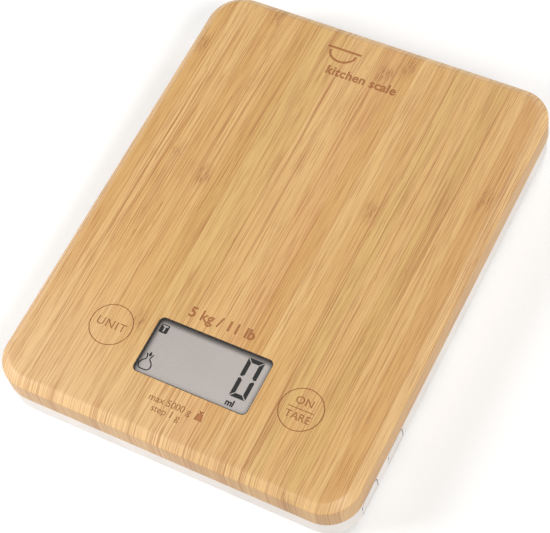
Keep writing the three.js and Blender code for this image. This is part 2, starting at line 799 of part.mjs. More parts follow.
// Soft cover that fills a port pocket and turns outwards about its lower edge.
function makeCover(y) {
  const height = pocketHeight - hingeRise + coverFoot - coverGap;
  const width = pocketWidth - 2 * coverGap;
  const outline = portOutline(width, height, pocketTopR - coverGap, pocketLowR - coverGap);
  const flap = wallPiece(outline, coverOuterX - coverThick, coverThick, y, hingeZ - coverFoot);
  const plugShape = roundedRect(plugWidth, plugHeight, plugHeight / 2 - 0.1);
  const plug = wallPiece(plugShape, coverOuterX - coverThick - plugDepth, plugDepth + 0.4, y, pocketMiddle);
  return toGeometry(toSolid(flap).add(toSolid(plug)));
}

const scale = new THREE.Group();

function add(name, geometry, material, x = 0, y = 0) {
  const mesh = new THREE.Mesh(geometry, material);
  mesh.name = name;
  mesh.position.set(x, y, 0);
  scale.add(mesh);
}

add("bamboo_platform", makePlatform(), bamboo);
add("base_housing", makeBase(), whitePlastic);
add("display_lens", makeLens(), lensGlass);
add("lcd_frame", makeFrame(), greyPlastic);
add("lcd_panel", makePanel(), lcdGrey);
add("lcd_contact_strip", makeStrip(), chipBlack);
add("main_board", makeMainBoard(), boardGreen);
add("controller_chip", makeChip(), chipBlack);
add("supercapacitor", makeCapacitor(), sleeveBlue);
add("unit_touch_spring", makeTouchSpring(), springSteel, -touchX, displayY);
add("tare_touch_spring", makeTouchSpring(), springSteel, touchX, displayY);

for (const { name, x, y } of boardScrews) {
  add(`board_screw_${name}`, makeScrew(boardScrew, boardBottom - seatGap, false), steel, x, y);
}
for (const [name, x] of [["left", -frameScrewX], ["right", frameScrewX]]) {
  add(`frame_screw_${name}`, makeScrew(frameScrew, flangeBottom - seatGap, false), steel, x, displayY);
}
for (const { name, x, y } of caseScrews) {
  add(`case_screw_${name}`, makeScrew(caseScrew, groundGap + caseHeadSeat - seatGap, false), steel, x, y);
}

for (const corner of corners) {
  const { name, x, y } = corner;
  add(`load_cell_${name}`, makeLoadCell(), steel, x, y);
  add(`strain_gauge_${name}`, makeGauge(), silicone, x, y);
  add(`cell_clamp_${name}`, makeClamp(), greyPlastic, x, y);
  add(`foot_carrier_${name}`, makeFootCarrier(), whitePlastic, x, y);
  add(`foot_pad_${name}`, makeFootPad(), rubber, x, y);
  add(`cell_wires_${name}`, makeWires(cellRoute(corner)), sleeveWhite);
  for (const [end, side] of [["front", -1], ["rear", 1]]) {
    const screwY = y + side * clampScrewY;
    add(`clamp_screw_${name}_${end}`, makeScrew(clampScrew, clampTop + seatGap, true), steel, x, screwY);
  }
}

add("port_board", makePortBoard(), boardGreen);
add("usb_socket", makeUsbSocket(), steel);
add("service_socket", makeServiceSocket(), chipBlack);
add("supply_wires", makeWires(supplyRoute()), sleeveWhite);
add("usb_cover", makeCover(usbY), silicone);
add("service_cover", makeCover(serviceY), silicone);

export default scale;
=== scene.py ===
import json
import math

import bmesh
import bpy
import numpy as np
from mathutils import Matrix, Quaternion, Vector


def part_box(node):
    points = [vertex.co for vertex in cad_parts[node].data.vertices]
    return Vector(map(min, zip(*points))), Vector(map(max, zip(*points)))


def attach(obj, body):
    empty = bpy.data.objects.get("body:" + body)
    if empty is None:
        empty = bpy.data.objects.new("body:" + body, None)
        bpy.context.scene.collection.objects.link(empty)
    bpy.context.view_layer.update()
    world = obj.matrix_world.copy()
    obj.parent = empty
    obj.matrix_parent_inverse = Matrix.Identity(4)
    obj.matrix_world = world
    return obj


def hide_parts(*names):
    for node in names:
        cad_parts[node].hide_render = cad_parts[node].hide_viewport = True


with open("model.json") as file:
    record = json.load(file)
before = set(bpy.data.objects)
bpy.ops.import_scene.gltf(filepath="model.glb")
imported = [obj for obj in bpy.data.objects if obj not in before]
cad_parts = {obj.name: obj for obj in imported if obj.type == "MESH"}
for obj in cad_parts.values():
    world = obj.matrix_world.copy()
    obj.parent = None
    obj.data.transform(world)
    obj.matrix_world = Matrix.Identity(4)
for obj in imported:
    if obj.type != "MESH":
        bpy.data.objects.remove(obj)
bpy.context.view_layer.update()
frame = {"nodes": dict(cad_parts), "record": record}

mm = 0.001


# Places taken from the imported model, in metres.
platformLow, platformHigh = (np.array(corner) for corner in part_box("bamboo_platform"))
baseLow, baseHigh = (np.array(corner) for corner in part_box("base_housing"))
lensLow, lensHigh = (np.array(corner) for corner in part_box("display_lens"))
platformTop = platformHigh[2]
displayY = (lensLow[1] + lensHigh[1]) / 2
ringCentres = {
    side: (np.array(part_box(node)[0]) + np.array(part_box(node)[1])) / 2
    for side, node in (("left", "unit_touch_spring"), ("right", "tare_touch_spring"))
}
footNodes = [name for name in frame["nodes"] if name.startswith("foot_pad_")]
caseScrewNodes = [name for name in frame["nodes"] if name.startswith("case_screw_")]
coverNodes = {"usb_cover": "usbCover", "service_cover": "serviceCover"}


# A screen colour from 0 to 255 becomes the linear colour that a shader wants.
def tint(red, green, blue):
    def linear(value):
        value = value / 255
        return value / 12.92 if value <= 0.04045 else ((value + 0.055) / 1.055) ** 2.4
    return (linear(red), linear(green), linear(blue), 1.0)


class Wire:
    # One output of a shader node. Sums on it add Math nodes.
    def __init__(self, finish, socket):
        self.finish = finish
        self.socket = socket

    def sum(self, operation, first, second):
        return self.finish.node("ShaderNodeMath", {"operation": operation}, {0: first, 1: second})

    def __add__(self, other):
        return self.sum("ADD", self, other)

    def __radd__(self, other):
        return self.sum("ADD", other, self)

    def __sub__(self, other):
        return self.sum("SUBTRACT", self, other)

    def __rsub__(self, other):
        return self.sum("SUBTRACT", other, self)

    def __mul__(self, other):
        return self.sum("MULTIPLY", self, other)

    def __rmul__(self, other):
        return self.sum("MULTIPLY", other, self)

    def __truediv__(self, other):
        return self.sum("DIVIDE", self, other)


class Finish:
    # A material that is built up node by node.
    def __init__(self, name):
        self.material = bpy.data.materials.new(name)
        self.material.use_nodes = True
        self.tree = self.material.node_tree
        self.tree.nodes.clear()

    # A node with its settings made first and then the values or links of its sockets.
    def node(self, kind, settings=None, inputs=None, output=0):
        made = self.tree.nodes.new(kind)
        for key, value in (settings or {}).items():
            setattr(made, key, value)
        for key, value in (inputs or {}).items():
            if isinstance(value, Wire):
                self.tree.links.new(value.socket, made.inputs[key])
            else:
                made.inputs[key].default_value = value
        return Wire(self, made.outputs[output]) if len(made.outputs) else None

    def place(self):
        return self.node("ShaderNodeTexCoord", output=3)

    def axes(self, vector):
        made = self.node("ShaderNodeSeparateXYZ", inputs={0: vector})
        return [Wire(self, socket) for socket in made.socket.node.outputs]

    def join(self, x, y, z):
        return self.node("ShaderNodeCombineXYZ", inputs={0: x, 1: y, 2: z})

    # Noise whose grain is stretched by the three numbers of stretch, in waves per metre.
    def grain(self, vector, stretch, detail=2.0, rough=0.5):
        scaled = self.node("ShaderNodeMapping", {"vector_type": "POINT"}, {0: vector, 3: stretch})
        return self.node("ShaderNodeTexNoise", None, {0: scaled, 2: 1.0, 3: detail, 4: rough})

    # 0 below low, 1 above high and a smooth rise between.
    def rise(self, value, low, high):
        return self.node(
            "ShaderNodeMapRange", {"interpolation_type": "SMOOTHSTEP"}, {0: value, 1: low, 2: high})

    def blend(self, factor, first, second):
        return self.node("ShaderNodeMix", {"data_type": "RGBA"}, {0: factor, 6: first, 7: second}, output=2)

    def bump(self, height, distance, strength=1.0):
        return self.node("ShaderNodeBump", None, {0: strength, 1: distance, 3: height})

    def surface(self, **sockets):
        self.finishWith(self.node("ShaderNodeBsdfPrincipled", None, {
            nameOf[key]: value for key, value in sockets.items()}))

    def finishWith(self, shader):
        self.node("ShaderNodeOutputMaterial", None, {0: shader})


nameOf = {
    "colour": "Base Color", "rough": "Roughness", "metal": "Metallic", "normal": "Normal",
    "coat": "Coat Weight", "coatRough": "Coat Roughness",
}


bambooLook = {
    "pale": (216, 177, 119),
    "golden": (202, 158, 97),
    "pinkish": (208, 160, 108),
    "olive": (200, 164, 100),
    # painted sheen: a paler tone towards the front left corner of the top
    "frontLeftSheen": (224, 190, 146),
    "chamferHighlight": (238, 200, 146),  # painted highlight on the sloping edge
    "uprightShade": (178, 140, 92),  # and painted shade on the upright side below it
    "chamferHighlightLow": -3.6,  # mm from the top, where the painted highlight starts, is full, starts to fade and ends
    "chamferHighlightFull": -3.0,
    "chamferHighlightFade": -0.6,
    "chamferHighlightTop": -0.1,
    "uprightShadeFull": -4.0,
    "uprightShadeTop": -3.3,
    "sheenFrom": 45.0,  # mm towards the front left corner, where the painted sheen starts and where it is full
    "sheenTo": 150.0,
    "streak": (156, 98, 52),
    "knuckle": (148, 94, 50),
    "stripWidth": 8.6,  # mm
    "knucklePitch": 232.0,  # mm between knuckles along one strip
    "knuckleLength": 8.0,  # mm
    "fibreDepth": 0.03,  # mm
    "sideFrom": 80.0,  # mm from the middle, where the fibres start to turn down the sides
    "sideTo": 83.0,
    "cornerFrom": 90.0,  # mm from the middle, where they stop doing so towards the corners
    "cornerTo": 108.0,
}


# Laminated bamboo: strips side by side along Y, each with its own tone, long reddish fibres and now and
# then a knuckle. On the left and right sides the fibres are spread over the height, so that they stay lines
# along Y.
def bambooFinish(name="bamboo", burnt=0.0):
    look = bambooLook
    finish = Finish(name)
    place = finish.place()
    x, y, z = finish.axes(place)
    outX = finish.node("ShaderNodeMath", {"operation": "ABSOLUTE"}, {0: x})
    outY = finish.node("ShaderNodeMath", {"operation": "ABSOLUTE"}, {0: y})
    atSide = finish.rise(outX, look["sideFrom"] * mm, look["sideTo"] * mm)
    down = z - platformTop
    outward = finish.node("ShaderNodeMath", {"operation": "SIGN"}, {0: x})
    alongSide = 1.0 - finish.rise(outY, look["cornerFrom"] * mm, look["cornerTo"] * mm)
    u = x - outward * down * atSide * alongSide
    strips = {"W": x * (1 / (look["stripWidth"] * mm)) + 41.37, "Scale": 1.0, "Randomness": 0.45}
    oneD = {"voronoi_dimensions": "1D", "feature": "F1"}
    tone, hue, shift = finish.axes(finish.node("ShaderNodeTexVoronoi", oneD, strips, output=1))
    joint = finish.node("ShaderNodeTexVoronoi", {**oneD, "feature": "DISTANCE_TO_EDGE"}, strips)

    broad = finish.grain(finish.join(u, y + shift * 0.9, 0.0), (110, 5, 1), 2.0)
    cluster = finish.grain(finish.join(u, y + hue * 1.3, 0.3), (230, 6, 1), 2.0, 0.6)
    medium = finish.grain(finish.join(u, y + tone * 1.7, 0.6), (820, 9, 1), 3.0, 0.65)
    threads = finish.grain(finish.join(u, y + shift * 3.1, 0.9), (1500, 8, 1), 2.0, 0.7)
    hairs = finish.grain(finish.join(u, y + hue * 2.3, 1.2), (2700, 40, 1), 2.0, 0.6)
    dashes = finish.grain(finish.join(u, y + tone * 2.9, 1.5), (1900, 120, 1), 1.0, 0.5)

    # A knuckle is a short patch of dark dashes, fading towards the strip's edges.
    pitch = look["knucklePitch"] * mm
    wander = finish.grain(place, (420, 40, 1), 2.0)
    turn = finish.node("ShaderNodeMath", {"operation": "FRACT"}, {0: (y + shift * pitch) / pitch + 8.0})
    away = finish.node("ShaderNodeMath", {"operation": "ABSOLUTE"}, {0: turn - 0.5}) * pitch
    reach = away + (wander - 0.5) * 0.012
    knuckle = (1.0 - finish.rise(reach, 0.0, look["knuckleLength"] * mm)) * finish.rise(joint, 0.0, 0.3)
    shown = finish.rise(tone, 0.3, 0.55)
    weave = finish.grain(finish.join(u, y, 2.0), (1500, 230, 1), 2.0, 0.6)

    ripe = finish.rise(tone * 0.5 + broad * 0.9, 0.35, 1.0)
    colour = finish.blend(ripe, tint(*look["pale"]), tint(*look["golden"]))
    colour = finish.blend(finish.rise(hue, 0.5, 0.95) * 0.45, colour, tint(*look["pinkish"]))
    colour = finish.blend(finish.rise(shift, 0.55, 0.95) * 0.6, colour, tint(*look["olive"]))
    # Painted sheen: a paler tone towards the front left corner of the top.
    frontLeftSheen = finish.rise(x * -0.5 - y, look["sheenFrom"] * mm, look["sheenTo"] * mm)
    colour = finish.blend(frontLeftSheen * 0.5, colour, tint(*look["frontLeftSheen"]))
    # Painted highlight: the sloping edge is made paler, as if lit more brightly than the top.
    chamferHighlight = finish.rise(down, look["chamferHighlightLow"] * mm, look["chamferHighlightFull"] * mm) * (
        1.0 - finish.rise(down, look["chamferHighlightFade"] * mm, look["chamferHighlightTop"] * mm))
    colour = finish.blend(chamferHighlight * 0.4, colour, tint(*look["chamferHighlight"]))
    # Painted shade: the upright sides below the sloping edge are darkened in mottled strips.
    uprightShade = 1.0 - finish.rise(down, look["uprightShadeFull"] * mm, look["uprightShadeTop"] * mm)
    colour = finish.blend(uprightShade * (0.3 + 0.5 * tone), colour, tint(*look["uprightShade"]))
    streak = tint(*look["streak"])
    colour = finish.blend(finish.rise(medium, 0.5, 0.78) * (0.12 + 0.46 * cluster), colour, streak)
    clustered = finish.rise(cluster, 0.42, 0.66)
    colour = finish.blend(finish.rise(threads, 0.52, 0.62) * (0.2 + 0.5 * clustered), colour, streak)
    colour = finish.blend(finish.rise(hairs, 0.5, 0.64) * 0.56, colour, streak)
    colour = finish.blend(finish.rise(dashes, 0.62, 0.76) * clustered * 0.4, colour, streak)
    colour = finish.blend(knuckle * shown * (0.2 + 0.75 * finish.rise(weave, 0.46, 0.6)) * 0.75,
                          colour, tint(*look["knuckle"]))
    colour = finish.blend((1.0 - finish.rise(joint, 0.0, 0.05)) * 0.3, colour, streak)
    if burnt:
        scorch = finish.grain(place, (1600, 500, 1600), 2.0, 0.6)
        colour = finish.blend(burnt, colour, finish.blend(scorch, tint(138, 76, 34), tint(170, 104, 54)))
    height = medium * 0.4 + threads * 0.3 + hairs * 0.3 + knuckle * shown * 0.4
    finish.surface(
        colour=colour,
        rough=0.42 + 0.14 * medium + 0.06 * knuckle,
        normal=finish.bump(height, look["fibreDepth"] * mm),
        coat=0.12,
        coatRough=0.32,
    )
    return finish.material


# Moulded plastic or rubber: a fine spark-eroded grain, with a faint cloud of handling in its gloss.
def mouldedFinish(name, colour, rough=0.5, grainDepth=0.012, grainPitch=0.35, cloud=0.03, coat=0.0):
    finish = Finish(name)
    place = finish.place()
    pits = finish.grain(place, (1 / (grainPitch * mm),) * 3, 2.0, 0.6)
    hazes = finish.grain(place, (38, 38, 38), 2.0)
    shaded = tint(*(channel * (1 - 2.2 * cloud) for channel in colour))
    finish.surface(
        colour=finish.blend(finish.rise(hazes * 0.7 + pits * 0.3, 0.3, 0.75), shaded, tint(*colour)),
        rough=(rough - 0.08) + 0.1 * hazes + 0.06 * pits,
        normal=finish.bump(pits, grainDepth * mm),
        coat=coat,
        coatRough=0.2,
    )
    return finish.material


# Metal with fine rolling lines along one axis and a few duller clouds.
def metalFinish(name, colour, rough=0.32, lines=(4200, 160, 4200), metal=0.95):
    finish = Finish(name)
    place = finish.place()
    scratch = finish.grain(place, lines, 2.0, 0.6)
    hazes = finish.grain(place, (260, 260, 260), 2.0)
    dull = tint(*(channel * 0.72 for channel in colour))
    finish.surface(
        colour=finish.blend(finish.rise(hazes, 0.35, 0.7), dull, tint(*colour)),
        metal=metal,
        rough=(rough - 0.08) + 0.16 * scratch + 0.1 * hazes,
        normal=finish.bump(scratch, 0.004 * mm),
    )
    return finish.material


# Printed circuit board: solder resist over a pattern of tracks.
def boardFinish(name, colour):
    finish = Finish(name)
    place = finish.place()
    tracks = finish.node(
        "ShaderNodeTexBrick", {"offset": 0.37, "squash": 1.0},
        {0: place, 1: tint(20, 88, 52), 2: tint(28, 104, 62), 3: tint(14, 62, 38),
         4: 190.0, 5: 0.04, 6: 0.2, 8: 0.9, 9: 0.32})
    cloud = finish.grain(place, (90, 90, 90), 2.0)
    colourOut = finish.blend(cloud * 0.35, tracks, tint(*colour))
    finish.surface(
        colour=colourOut,
        rough=0.3 + 0.2 * cloud,
        normal=finish.bump(finish.grain(place, (700, 700, 700), 1.0), 0.008 * mm),
        coat=0.4,
        coatRough=0.15,
    )
    return finish.material


# Clear acrylic: light goes straight through, and only the gloss shows, more of it at a low angle.
def lensFinish(name):
    finish = Finish(name)
    smear = finish.grain(finish.place(), (60, 90, 60), 2.0)
    glance = finish.node("ShaderNodeLayerWeight", None, {"Blend": 0.5}, output=1)
    mirrored = (0.9 + 0.2 * smear) * (0.028 + 0.9 * finish.node(
        "ShaderNodeMath", {"operation": "POWER"}, {0: glance, 1: 5.0}))
    through = finish.node("ShaderNodeBsdfTransparent", None, {0: (0.975, 0.98, 0.98, 1.0)})
    gloss = finish.node("ShaderNodeBsdfGlossy", None, {"Color": (1, 1, 1, 1), "Roughness": 0.08})
    finish.finishWith(finish.node("ShaderNodeMixShader", None, {0: mirrored, 1: through, 2: gloss}))
    return finish.material


# Reflective display glass: an even grey with a faint grain from the polariser.
def displayFinish(name, colour):
    finish = Finish(name)
    place = finish.place()
    film = finish.grain(place, (2200, 2200, 2200), 1.0)
    drift = finish.grain(place, (22, 30, 22), 1.0)
    cool = tint(*(channel * 0.95 for channel in colour))
    finish.surface(
        colour=finish.blend(finish.rise(drift, 0.3, 0.7), cool, tint(*colour)),
        rough=0.34 + 0.08 * film,
        normal=finish.bump(film, 0.002 * mm),
    )
    return finish.material


finishes = {
    "bamboo": bambooFinish(),
    "burn": bambooFinish("burntGroove", burnt=0.82),
    "white_plastic": mouldedFinish("whiteAbs", (227, 221, 217), rough=0.46, coat=0.05),
    "dark_plastic": mouldedFinish("darkAbs", (52, 50, 50), rough=0.55),
    "black_parts": mouldedFinish("blackEpoxy", (28, 28, 30), rough=0.42),
    "cover_silicone": mouldedFinish("whiteSilicone", (225, 220, 216), rough=0.62, grainDepth=0.006),
    "foot_rubber": mouldedFinish("greyRubber", (176, 176, 172), rough=0.72, grainDepth=0.02, grainPitch=0.5),
    "potting": mouldedFinish("pottingCompound", (226, 222, 210), rough=0.6, grainPitch=0.9),
    "wire_sleeve": mouldedFinish("wireSleeve", (222, 218, 206), rough=0.45, grainPitch=0.8),
    "capacitor_sleeve": mouldedFinish("capacitorSleeve", (40, 58, 104), rough=0.3, coat=0.3),
    "circuit_board": boardFinish("circuitBoard", (34, 112, 70)),
    "spring_wire": metalFinish("springWire", (214, 202, 164), lines=(2600, 2600, 2600)),
    "screw_steel": metalFinish("zincedSteel", (196, 198, 202), lines=(1800, 1800, 1800)),
    "cell_steel": metalFinish("rolledSteel", (178, 181, 186)),
    "lens": lensFinish("clearAcrylic"),
    "lcd": displayFinish("displayGlass", (186, 177, 172)),
    "ink": mouldedFinish("displaySegments", (16, 13, 12), rough=0.4, grainDepth=0.001),
}

slotOf = {part["node"]: part["material_slot"] for part in frame["record"]["subparts"]}
for nodeName, nodeObject in frame["nodes"].items():
    finish = finishes[slotOf[nodeName]]
    if nodeObject.data.materials:
        for slotIndex in range(len(nodeObject.material_slots)):
            nodeObject.material_slots[slotIndex].link = "DATA"
            nodeObject.material_slots[slotIndex].material = finish
    else:
        nodeObject.data.materials.append(finish)
print("finishes made:", len(finishes))


# A mesh object at the origin from points and faces, its normals turned outwards.
def addPiece(name, points, faces, finish):
    mesh = bpy.data.meshes.new(name)
    mesh.from_pydata(np.asarray(points, dtype=float).tolist(), [], faces)
    mesh.materials.append(finish)
    weldMesh(mesh)
    piece = bpy.data.objects.new(name, mesh)
    bpy.context.scene.collection.objects.link(piece)
    return piece


def weldMesh(mesh):
    work = bmesh.new()
    work.from_mesh(mesh)
    bmesh.ops.remove_doubles(work, verts=work.verts, dist=1e-7)
    bmesh.ops.recalc_face_normals(work, faces=work.faces)
    work.to_mesh(mesh)
    work.free()


# Smooth shading that breaks at edges sharper than the angle, in degrees.
def shade(piece, angle=32):
    mesh = piece.data
    mesh.polygons.foreach_set("use_smooth", np.ones(len(mesh.polygons), dtype=bool))
    mesh.set_sharp_from_angle(angle=math.radians(angle))
    mesh.update()


# The last step for every new piece: it is shaded smooth, stands for its nodes and rides on its body.
def install(piece, nodes=(), body="body"):
    shade(piece)
    if nodes:
        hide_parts(*nodes)
    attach(piece, body)


# Quads between rings of equally many points: point j of ring i is index i * n + j.
def ringQuads(ringCount, perRing, closed=False):
    i = np.arange(ringCount if closed else ringCount - 1)[:, None]
    j = np.arange(perRing)[None, :]
    following = (i + 1) % ringCount
    nextJ = (j + 1) % perRing
    quads = np.stack([
        i * perRing + j, i * perRing + nextJ,
        following * perRing + nextJ, following * perRing + j], axis=-1)
    return quads.reshape(-1, 4).tolist()


# A round-cornered rectangle as a ring: corner centres at (halfX - radius, halfY - radius), and a quarter turn
# at each.
def roundedRing(halfX, halfY, radius, steps=14):
    quarter = np.linspace(0, math.pi / 2, steps)
    turns = np.concatenate([quarter + k * math.pi / 2 for k in range(4)])
    signX = np.repeat([1, -1, -1, 1], steps)
    signY = np.repeat([1, 1, -1, -1], steps)
    x = signX * (halfX - radius) + radius * np.cos(turns)
    y = signY * (halfY - radius) + radius * np.sin(turns)
    return np.stack([x, y], axis=-1)


def lifted(ring, z, centre=(0.0, 0.0)):
    shifted = ring + np.asarray(centre)
    return np.column_stack([shifted, np.full(len(ring), z)])


# A corner-by-corner line with each inner corner rounded: a quadratic curve from one reach before it to one
# reach after.
def softLine(points, reaches, steps=5):
    points = np.asarray(points, dtype=float)
    out = [points[:1]]
    for k in range(1, len(points) - 1):
        before = points[k] - points[k - 1]
        after = points[k + 1] - points[k]
        start = points[k] - before / np.linalg.norm(before) * reaches[k]
        end = points[k] + after / np.linalg.norm(after) * reaches[k]
        t = np.linspace(0, 1, steps)[:, None]
        out.append((1 - t) ** 2 * start + 2 * t * (1 - t) * points[k] + t ** 2 * end)
    out.append(points[-1:])
    return np.concatenate(out)


# Replaces a piece's mesh with what its modifiers make of it.
def settle(piece):
    shown = piece.evaluated_get(bpy.context.evaluated_depsgraph_get())
    mesh = bpy.data.meshes.new_from_object(shown)
    mesh.name = piece.name
    piece.modifiers.clear()
    piece.data = mesh


# Cuts or joins tools into a piece, at a thousand times the size, where the solver is surest. The cut faces
# keep the tool's own finish, and the slits it can leave at a groove's floor are filled.
def boolean(piece, tools, operation="DIFFERENCE"):
    for each in [piece, *tools]:
        each.data.transform(Matrix.Scale(1000, 4))
    for tool in tools:
        modifier = piece.modifiers.new("cut", "BOOLEAN")
        modifier.operation = operation
        modifier.solver = "EXACT"
        modifier.material_mode = "TRANSFER"
        modifier.object = tool
    settle(piece)
    work = bmesh.new()
    work.from_mesh(piece.data)
    bmesh.ops.remove_doubles(work, verts=work.verts, dist=0.003)
    bmesh.ops.dissolve_degenerate(work, edges=work.edges, dist=0.002)
    bmesh.ops.holes_fill(work, edges=[edge for edge in work.edges if edge.is_boundary], sides=6)
    work.to_mesh(piece.data)
    work.free()
    piece.data.transform(Matrix.Scale(0.001, 4))
    for tool in tools:
        bpy.data.objects.remove(tool)


# Rings of equally many points, one after the other, closed at both ends.
def stack(name, rings, finish):
    count = len(rings[0])
    total = count * len(rings)
    ends = [list(range(count))[::-1], list(range(total - count, total))]
    return addPiece(name, np.concatenate(rings), ringQuads(len(rings), count) + ends, finish)


# A bar of four sides, given by the lines along its four edges.
def rail(name, edges, finish):
    return stack(name, np.stack(edges, axis=1), finish)


def circle(sides):
    turn = np.linspace(0, 2 * math.pi, sides, endpoint=False)
    return np.stack([np.cos(turn), np.sin(turn)], axis=-1)


# A round bar between two heights, as a tool for cutting.
def roundTool(name, centre, radius, bottom, top, finish, sides=48):
    ring = radius * circle(sides)
    return stack(name, [lifted(ring, bottom, centre), lifted(ring, top, centre)], finish)


platformShape = {
    "cornerRadius": 16.0,  # mm, and so are the rest
    "chamferWidth": 4.1,
    "chamferHeight": 3.4,
    "topSoftness": 0.9,
    "sideSoftness": 0.5,
    "edgeBreak": 0.5,
    "windowRadius": 2.5,
    "windowRim": 0.35,
    "skin": 4.8,
    "lensGap": 0.2,
    "groove": 0.22,
    "toolRise": 0.4,  # how far the cutting tools stand out of the top
    "touchWell": 6.5,
    "touchSkin": 2.5,
    "casePilot": 1.72,
    "framePilot": 1.2,
    "pilotExtra": 0.4,
    "topRun": 4.0,  # of flat top carried inside the chamfer
    "bayGap": 1.5,
    "bayRadius": 3.0,
}


# The platform is a closed skin of rings: up the side, over the soft chamfer, across the top to the window,
# down its wall, out over the hidden pocket and back along the underside.
def makePlatform():
    shape = {key: value * mm for key, value in platformShape.items()}
    halfX, halfY = platformHigh[0], platformHigh[1]
    low, top = platformLow[2], platformTop
    section = softLine(
        [(shape["edgeBreak"], low), (0, low + shape["edgeBreak"]), (0, top - shape["chamferHeight"]),
         (shape["chamferWidth"], top), (shape["chamferWidth"] + shape["topRun"], top)],
        [0, 0.25 * mm, shape["sideSoftness"], shape["topSoftness"], 0])
    rings = []
    for inset, z in section:
        ring = roundedRing(halfX - inset, halfY - inset, shape["cornerRadius"] - inset)
        rings.append(lifted(ring, z))
    windowX = (lensHigh[0] - lensLow[0]) / 2 + shape["lensGap"]
    windowY = (lensHigh[1] - lensLow[1]) / 2 + shape["lensGap"]
    rim = shape["windowRim"]
    edge = softLine([(rim * 3, top), (0, top), (0, top - rim * 3)], [0, rim, 0], steps=4)
    for outset, z in edge:
        ring = roundedRing(windowX + outset, windowY + outset, shape["windowRadius"] + outset)
        rings.append(lifted(ring, z, (0, displayY)))
    pocketTop = top - shape["skin"]
    window = roundedRing(windowX, windowY, shape["windowRadius"])
    rings.append(lifted(window, pocketTop, (0, displayY)))
    boardLow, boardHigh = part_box("main_board")
    bayX = boardHigh[0] + shape["bayGap"]
    bayY = (boardHigh[1] - boardLow[1]) / 2 + shape["bayGap"]
    bay = roundedRing(bayX, bayY, shape["bayRadius"])
    rings.append(lifted(bay, pocketTop, (0, displayY)))
    rings.append(lifted(bay, low, (0, displayY)))
    perRing = len(rings[0])
    return addPiece("bambooPlatform", np.concatenate(rings), ringQuads(len(rings), perRing, closed=True),
                    finishes["bamboo"])


# Engraving tools, all from just under the groove's floor to just above the platform.
def grooveDepth():
    return platformTop - platformShape["groove"] * mm, platformTop + platformShape["toolRise"] * mm


def annulusTool(name, centre, radius, width, sides=96):
    low, high = grooveDepth()
    inner, outer = circle(sides) * (radius - width / 2), circle(sides) * (radius + width / 2)
    rings = [lifted(inner, low, centre), lifted(outer, low, centre),
             lifted(outer, high, centre), lifted(inner, high, centre)]
    return addPiece(name, np.concatenate(rings), ringQuads(4, sides, closed=True), finishes["burn"])


# A flat strip along a line of points, made solid: the line's points moved half a width to each side.
def strokeTool(name, line, width, centre):
    low, high = grooveDepth()
    line = np.asarray(line, dtype=float) + np.asarray(centre)
    tangent = np.gradient(line, axis=0)
    tangent /= np.linalg.norm(tangent, axis=1, keepdims=True)
    side = np.stack([-tangent[:, 1], tangent[:, 0]], axis=-1) * width / 2
    edges = [lifted(line + side, low), lifted(line - side, low),
             lifted(line - side, high), lifted(line + side, high)]
    return rail(name, edges, finishes["burn"])


# Words as a solid between two heights, centred on a place, with capitals of the given height.
def letters(name, words, centre, height, low, high, finish, thin=0.0, space=1.0):
    curve = bpy.data.curves.new(name, "FONT")
    curve.body = words
    curve.size = height / 0.7  # capitals are about 0.7 of a font's size
    curve.align_x = "CENTER"
    curve.align_y = "CENTER"
    curve.space_character = space
    curve.offset = -thin
    curve.resolution_u = 4
    curve.extrude = (high - low) / 2
    words3d = bpy.data.objects.new(name, curve)
    bpy.context.scene.collection.objects.link(words3d)
    mesh = bpy.data.meshes.new_from_object(words3d.evaluated_get(bpy.context.evaluated_depsgraph_get()))
    bpy.data.objects.remove(words3d)
    weldMesh(mesh)
    mesh.transform(Matrix.Translation((centre[0], centre[1], (low + high) / 2)))
    mesh.materials.clear()
    mesh.materials.append(finish)
    solid = bpy.data.objects.new(name, mesh)
    bpy.context.scene.collection.objects.link(solid)
    return solid


def letterTool(name, words, centre, height, space=1.0):
    return letters(name, words, centre, height, *grooveDepth(), finishes["burn"], space=space)


# A bolder word: the same letters cut again a little to each side, each time a little less deep.
def boldTools(name, words, centre, height, spread, space):
    tools = []
    for k, step in enumerate([(-1, 0), (1, 0), (0, 1), (0, -1)]):
        tool = letterTool(f"{name}{k}", words, np.array(centre) + np.array(step) * spread, height, space)
        tool.data.transform(Matrix.Translation((0, 0, k * engraving["boldStep"] * mm)))
        tools.append(tool)
    return tools


engraving = {
    "ringRadius": 9.7,  # mm, and so are the rest
    "ringWidth": 0.42,
    "keyShift": {"left": (1.0, 1.3), "right": (0.7, -1.7)},  # from the middle of each touch spring
    "unitHeight": 3.9,
    "onHeight": 3.5,
    "tareHeight": 3.4,
    "wordOffset": 3.6,
    "barWidth": 0.38,
    "barHalf": 5.9,
    "name": "kitchen scale",
    "nameHeight": 4.5,
    "namePlace": (-1.2, 85.2),
    "bowlPlace": (-15.2, 97.0),
    "bowlRadius": 6.4,
    "bowlWidth": 1.1,
    "range": "5 kg / 11 lb",
    "rangeHeight": 4.8,
    "rangePlace": (-1.4, 20.5),  # from the middle of the window
    "limits": ("max 5000 g", "step 1 g"),
    "limitsHeight": 3.0,
    "limitsPlace": (-4.0, -21.6),
    "limitsPitch": 4.2,
    "weightPlace": (10.0, -21.3),
    "weightSize": 4.4,
    "boldness": 0.19,
    "boldStep": 0.02,
}


